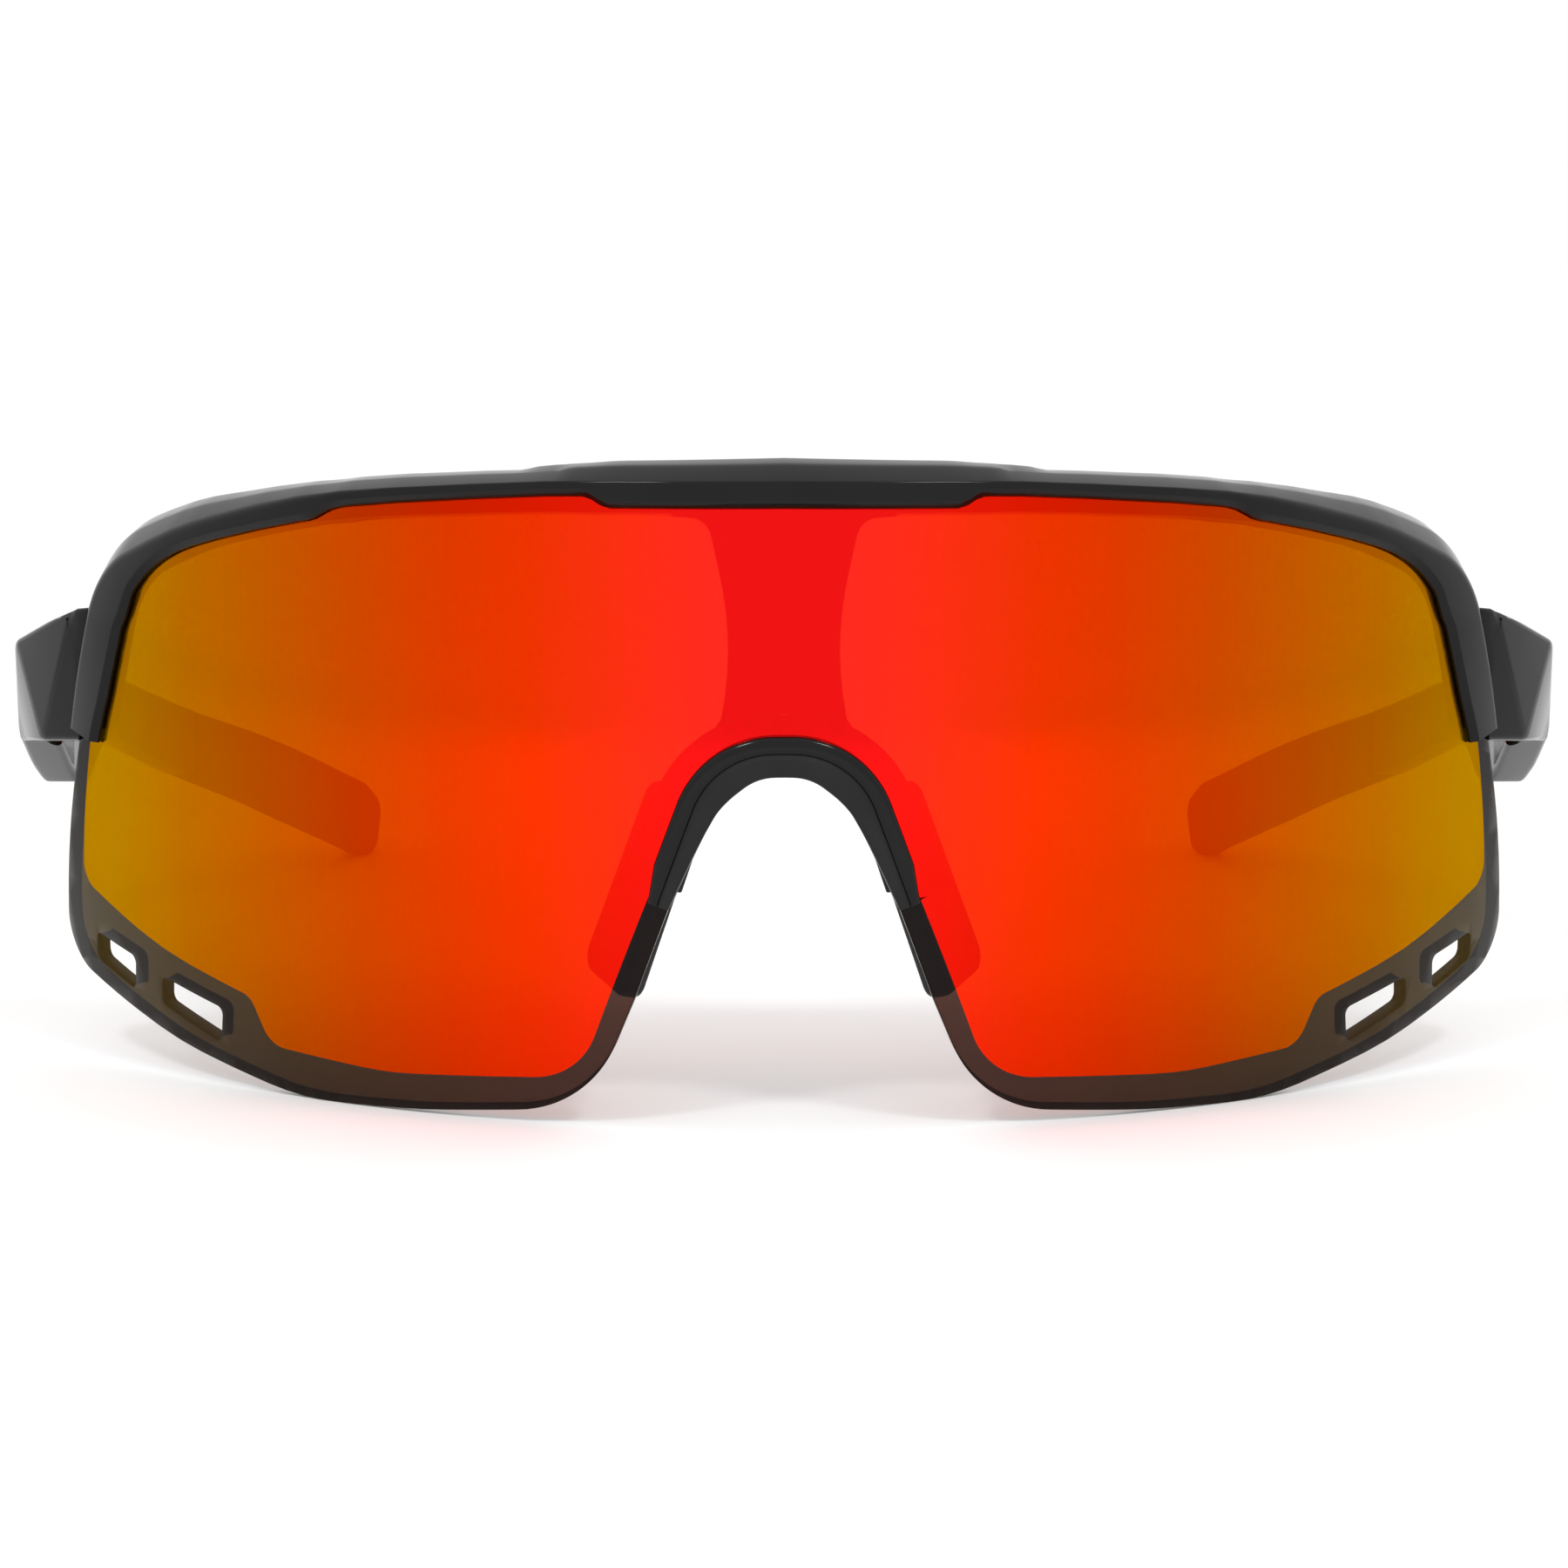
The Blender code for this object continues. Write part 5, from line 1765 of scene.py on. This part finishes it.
    def build(self, palette: Palette) -> list[bpy.types.Object]:
        """Build and dress the temple, its grip and its knuckle.

        Args:
            palette: The finishes.

        Returns:
            The pieces.
        """
        plan, word = self.plan, self.side.word
        clear = plan.knuckle_radius + plan.gap
        low, high = plan.level(1)
        head = carved(self.blade(self.head_outline(), self.bevel), (
            ("DIFFERENCE", plan.room(low - 12 * MM, low - plan.gap / 3, clear)),
            ("DIFFERENCE", plan.room(high + plan.gap / 3, high + 12 * MM, clear)),
        ))
        bodies = (
            (f"arm_{word}", head, palette.frame, f"temple_{word}", "gloss_black"),
            (f"middle_knuckle_{word}", plan.knuckle(1, plan.pin_radius + 0.05 * MM), palette.frame,
             f"temple_{word}", "gloss_black"),
            (f"middle_bridge_{word}", plan.bridge(1, 1), palette.frame, f"temple_{word}", "gloss_black"),
            (f"grip_{word}", self.blade(self.grip_outline(), self.grip_bevel), palette.grip,
             f"temple_grip_{word}", "grip_rubber"),
        )
        pieces = []
        for name, body, finish, node, slot in bodies:
            bmesh.ops.transform(body, matrix=self.surface.stand, verts=body.verts)
            piece = finished(name, self.side.turned(body), (finish,), 28)
            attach(piece, f"{word}_temple")
            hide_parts(node)
            pieces.append(piece)
        return pieces


@dataclass
class HingeHardware:
    """One hinge screw with a hexagonal socket, and the pressed insert that it threads into."""

    surface: LensSurface
    plan: HingePlan
    side: Side
    edge: float = 0.18 * MM
    socket: float = 0.55 * MM
    socket_depth: float = 0.45 * MM
    socket_floor: float = 0.4 * MM

    def screw(self) -> bmesh.types.BMesh:
        """Build the screw.

        Returns:
            The screw, in the upright frame.
        """
        plan = self.plan
        seat = plan.level(2)[1] - plan.head_sink + 0.1 * MM
        top = seat + plan.head_height
        foot = plan.level(0)[0] + 0.3 * MM
        edge = self.edge
        head, pin = plan.head_radius, plan.pin_radius
        body = turned_at(((0, top), (head - 2 * edge, top), (head - edge, top - 0.3 * edge),
                          (head, top - edge), (head, seat), (pin, seat),
                          (pin, foot + edge), (pin - edge, foot), (0, foot)), plan.axis)
        hexagon = turned_at(((0, top - self.socket_depth), (self.socket, top - self.socket_floor),
                             (self.socket, top + 1 * MM), (0, top + 1 * MM)), plan.axis, 6)
        return carved(body, (("DIFFERENCE", hexagon),))

    def insert(self) -> bmesh.types.BMesh:
        """Build the insert.

        Returns:
            The insert, in the upright frame.
        """
        plan = self.plan
        low, high = plan.level(0)
        bore = plan.pin_radius + 0.05 * MM
        return turned_at(ring_profile(bore, bore + plan.insert_wall, low, high - plan.insert_roof, 0.1 * MM),
                         plan.axis)

    def build(self, palette: Palette) -> list[bpy.types.Object]:
        """Build and dress the hardware.

        Args:
            palette: The finishes.

        Returns:
            The pieces.
        """
        word = self.side.word
        pieces = []
        for kind, body, finish, slot in (("screw", self.screw(), palette.steel, "hinge_steel"),
                                         ("insert", self.insert(), palette.brass, "insert_brass")):
            bmesh.ops.transform(body, matrix=self.surface.stand, verts=body.verts)
            piece = finished(f"{kind}_{word}", self.side.turned(body), (finish,), 28)
            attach(piece, "front")
            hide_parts(f"hinge_{kind}_{word}")
            pieces.append(piece)
        return pieces


# ---------------------------------------------------------------- studio

@dataclass
class Studio:
    """A pale flat floor under soft light, and a camera level with the upright glasses."""

    surface: LensSurface
    horizon: float = 1.10
    zenith: float = 1.15
    floor_size: float = 12.0
    floor_tone: float = 0.89
    distance: float = 0.520
    focal: float = 136.24
    sensor: float = 36.0
    lamp_size: tuple[float, float] = (0.11, 0.07)
    lamp_power: float = 1.0
    lamp_place: tuple[float, float, float] = (0.24, -0.50, 0.45)

    def floor(self) -> bpy.types.Object:
        """Build the floor.

        Returns:
            The floor.
        """
        bm = bmesh.new()
        bmesh.ops.create_grid(bm, x_segments=8, y_segments=8, size=self.floor_size / 2)
        paint = Paint("floor_paper")
        cloud = paint.noise(6, 2)
        tone = self.floor_tone
        paint.feed("Base Color", paint.ramp(cloud, ((0.3, (tone - 0.004,) * 3), (0.7, (tone,) * 3))))
        paint.feed("Roughness", paint.spread(cloud, 0.85, 0.95))
        paint.bump(paint.noise(900, 2), 0.02, 0.02 * MM)
        mesh = bpy.data.meshes.new("floor")
        bm.to_mesh(mesh)
        bm.free()
        mesh.materials.append(paint.material)
        piece = bpy.data.objects.new("floor", mesh)
        bpy.context.scene.collection.objects.link(piece)
        return piece

    def sky(self) -> None:
        """Light the scene from all round, more strongly from above."""
        world = bpy.data.worlds.new("soft_light")
        bpy.context.scene.world = world
        world.use_nodes = True
        tree = world.node_tree
        where = tree.nodes.new("ShaderNodeTexCoord")
        parts = tree.nodes.new("ShaderNodeSeparateXYZ")
        rise = tree.nodes.new("ShaderNodeMapRange")
        rise.interpolation_type = "SMOOTHSTEP"
        for word, number in (("From Min", 0.25), ("From Max", 1.0), ("To Min", self.horizon),
                             ("To Max", self.zenith)):
            rise.inputs[word].default_value = number
        tree.links.new(where.outputs["Generated"], parts.inputs["Vector"])
        tree.links.new(parts.outputs["Z"], rise.inputs["Value"])
        tree.links.new(rise.outputs["Result"], tree.nodes["Background"].inputs["Strength"])
        tree.nodes["Background"].inputs["Color"].default_value = (1, 1, 1, 1)

    def softbox(self, side: Side) -> bpy.types.Object:
        """Hang a small lamp above and in front of the face.

        Args:
            side: Which side of the middle it hangs on.

        Returns:
            The lamp.
        """
        light = bpy.data.lights.new(f"softbox_{side.word}", "AREA")
        light.shape = "RECTANGLE"
        light.size, light.size_y = self.lamp_size
        light.energy = self.lamp_power
        lamp = bpy.data.objects.new(light.name, light)
        away, ahead, up = self.lamp_place
        at = self.surface.stand @ Vector((side.value * away, ahead, up))
        aim = self.surface.stand.translation - at
        lamp.matrix_world = Matrix.Translation(at) @ aim.to_track_quat("-Z", "Y").to_matrix().to_4x4()
        bpy.context.scene.collection.objects.link(lamp)
        return lamp

    def camera(self) -> bpy.types.Object:
        """Stand the camera in front of the face.

        Returns:
            The camera.
        """
        lens = bpy.data.cameras.new("camera")
        lens.lens = self.focal
        lens.sensor_width = self.sensor
        lens.clip_start = 0.05
        lens.clip_end = 20
        piece = bpy.data.objects.new("camera", lens)
        piece.matrix_world = (self.surface.stand @ Matrix.Translation((0, -self.distance, 0))
                              @ Matrix.Rotation(math.pi / 2, 4, "X"))
        bpy.context.scene.collection.objects.link(piece)
        bpy.context.scene.camera = piece
        return piece

    def build(self) -> None:
        """Set up the floor, the light, the camera and the colour view."""
        self.floor()
        self.sky()
        for side in Side:
            self.softbox(side)
        self.camera()
        bpy.context.scene.view_settings.view_transform = "Standard"


def main() -> None:
    """Build the glasses round their CAD frame, and the studio."""
    logging.basicConfig(level=logging.INFO, format="%(name)s: %(message)s")
    shape = LensShape()
    surface = LensSurface.on_frame(shape.outline())
    LOG.info("stand at %s", [round(v / MM, 3) for v in surface.stand.translation])
    palette = Palette.mixed()
    rim = Rim(surface, shape)
    plan = HingePlan(rim.corner())
    saddle = Saddle(surface, shape)
    assemblies = [Lens(surface, shape), rim, CentrePost(surface, shape), saddle]
    for side in Side:
        lug = EndPiece(surface, rim, plan, side)
        assemblies += [lug, NosePad(surface, shape, saddle, side), Temple(surface, plan, lug, side),
                       HingeHardware(surface, plan, side)]
    for assembly in assemblies:
        for piece in assembly.build(palette):
            LOG.info("%s: %d faces", piece.name, len(piece.data.polygons))
    Studio(surface).build()


if __name__ == "__main__":
    main()
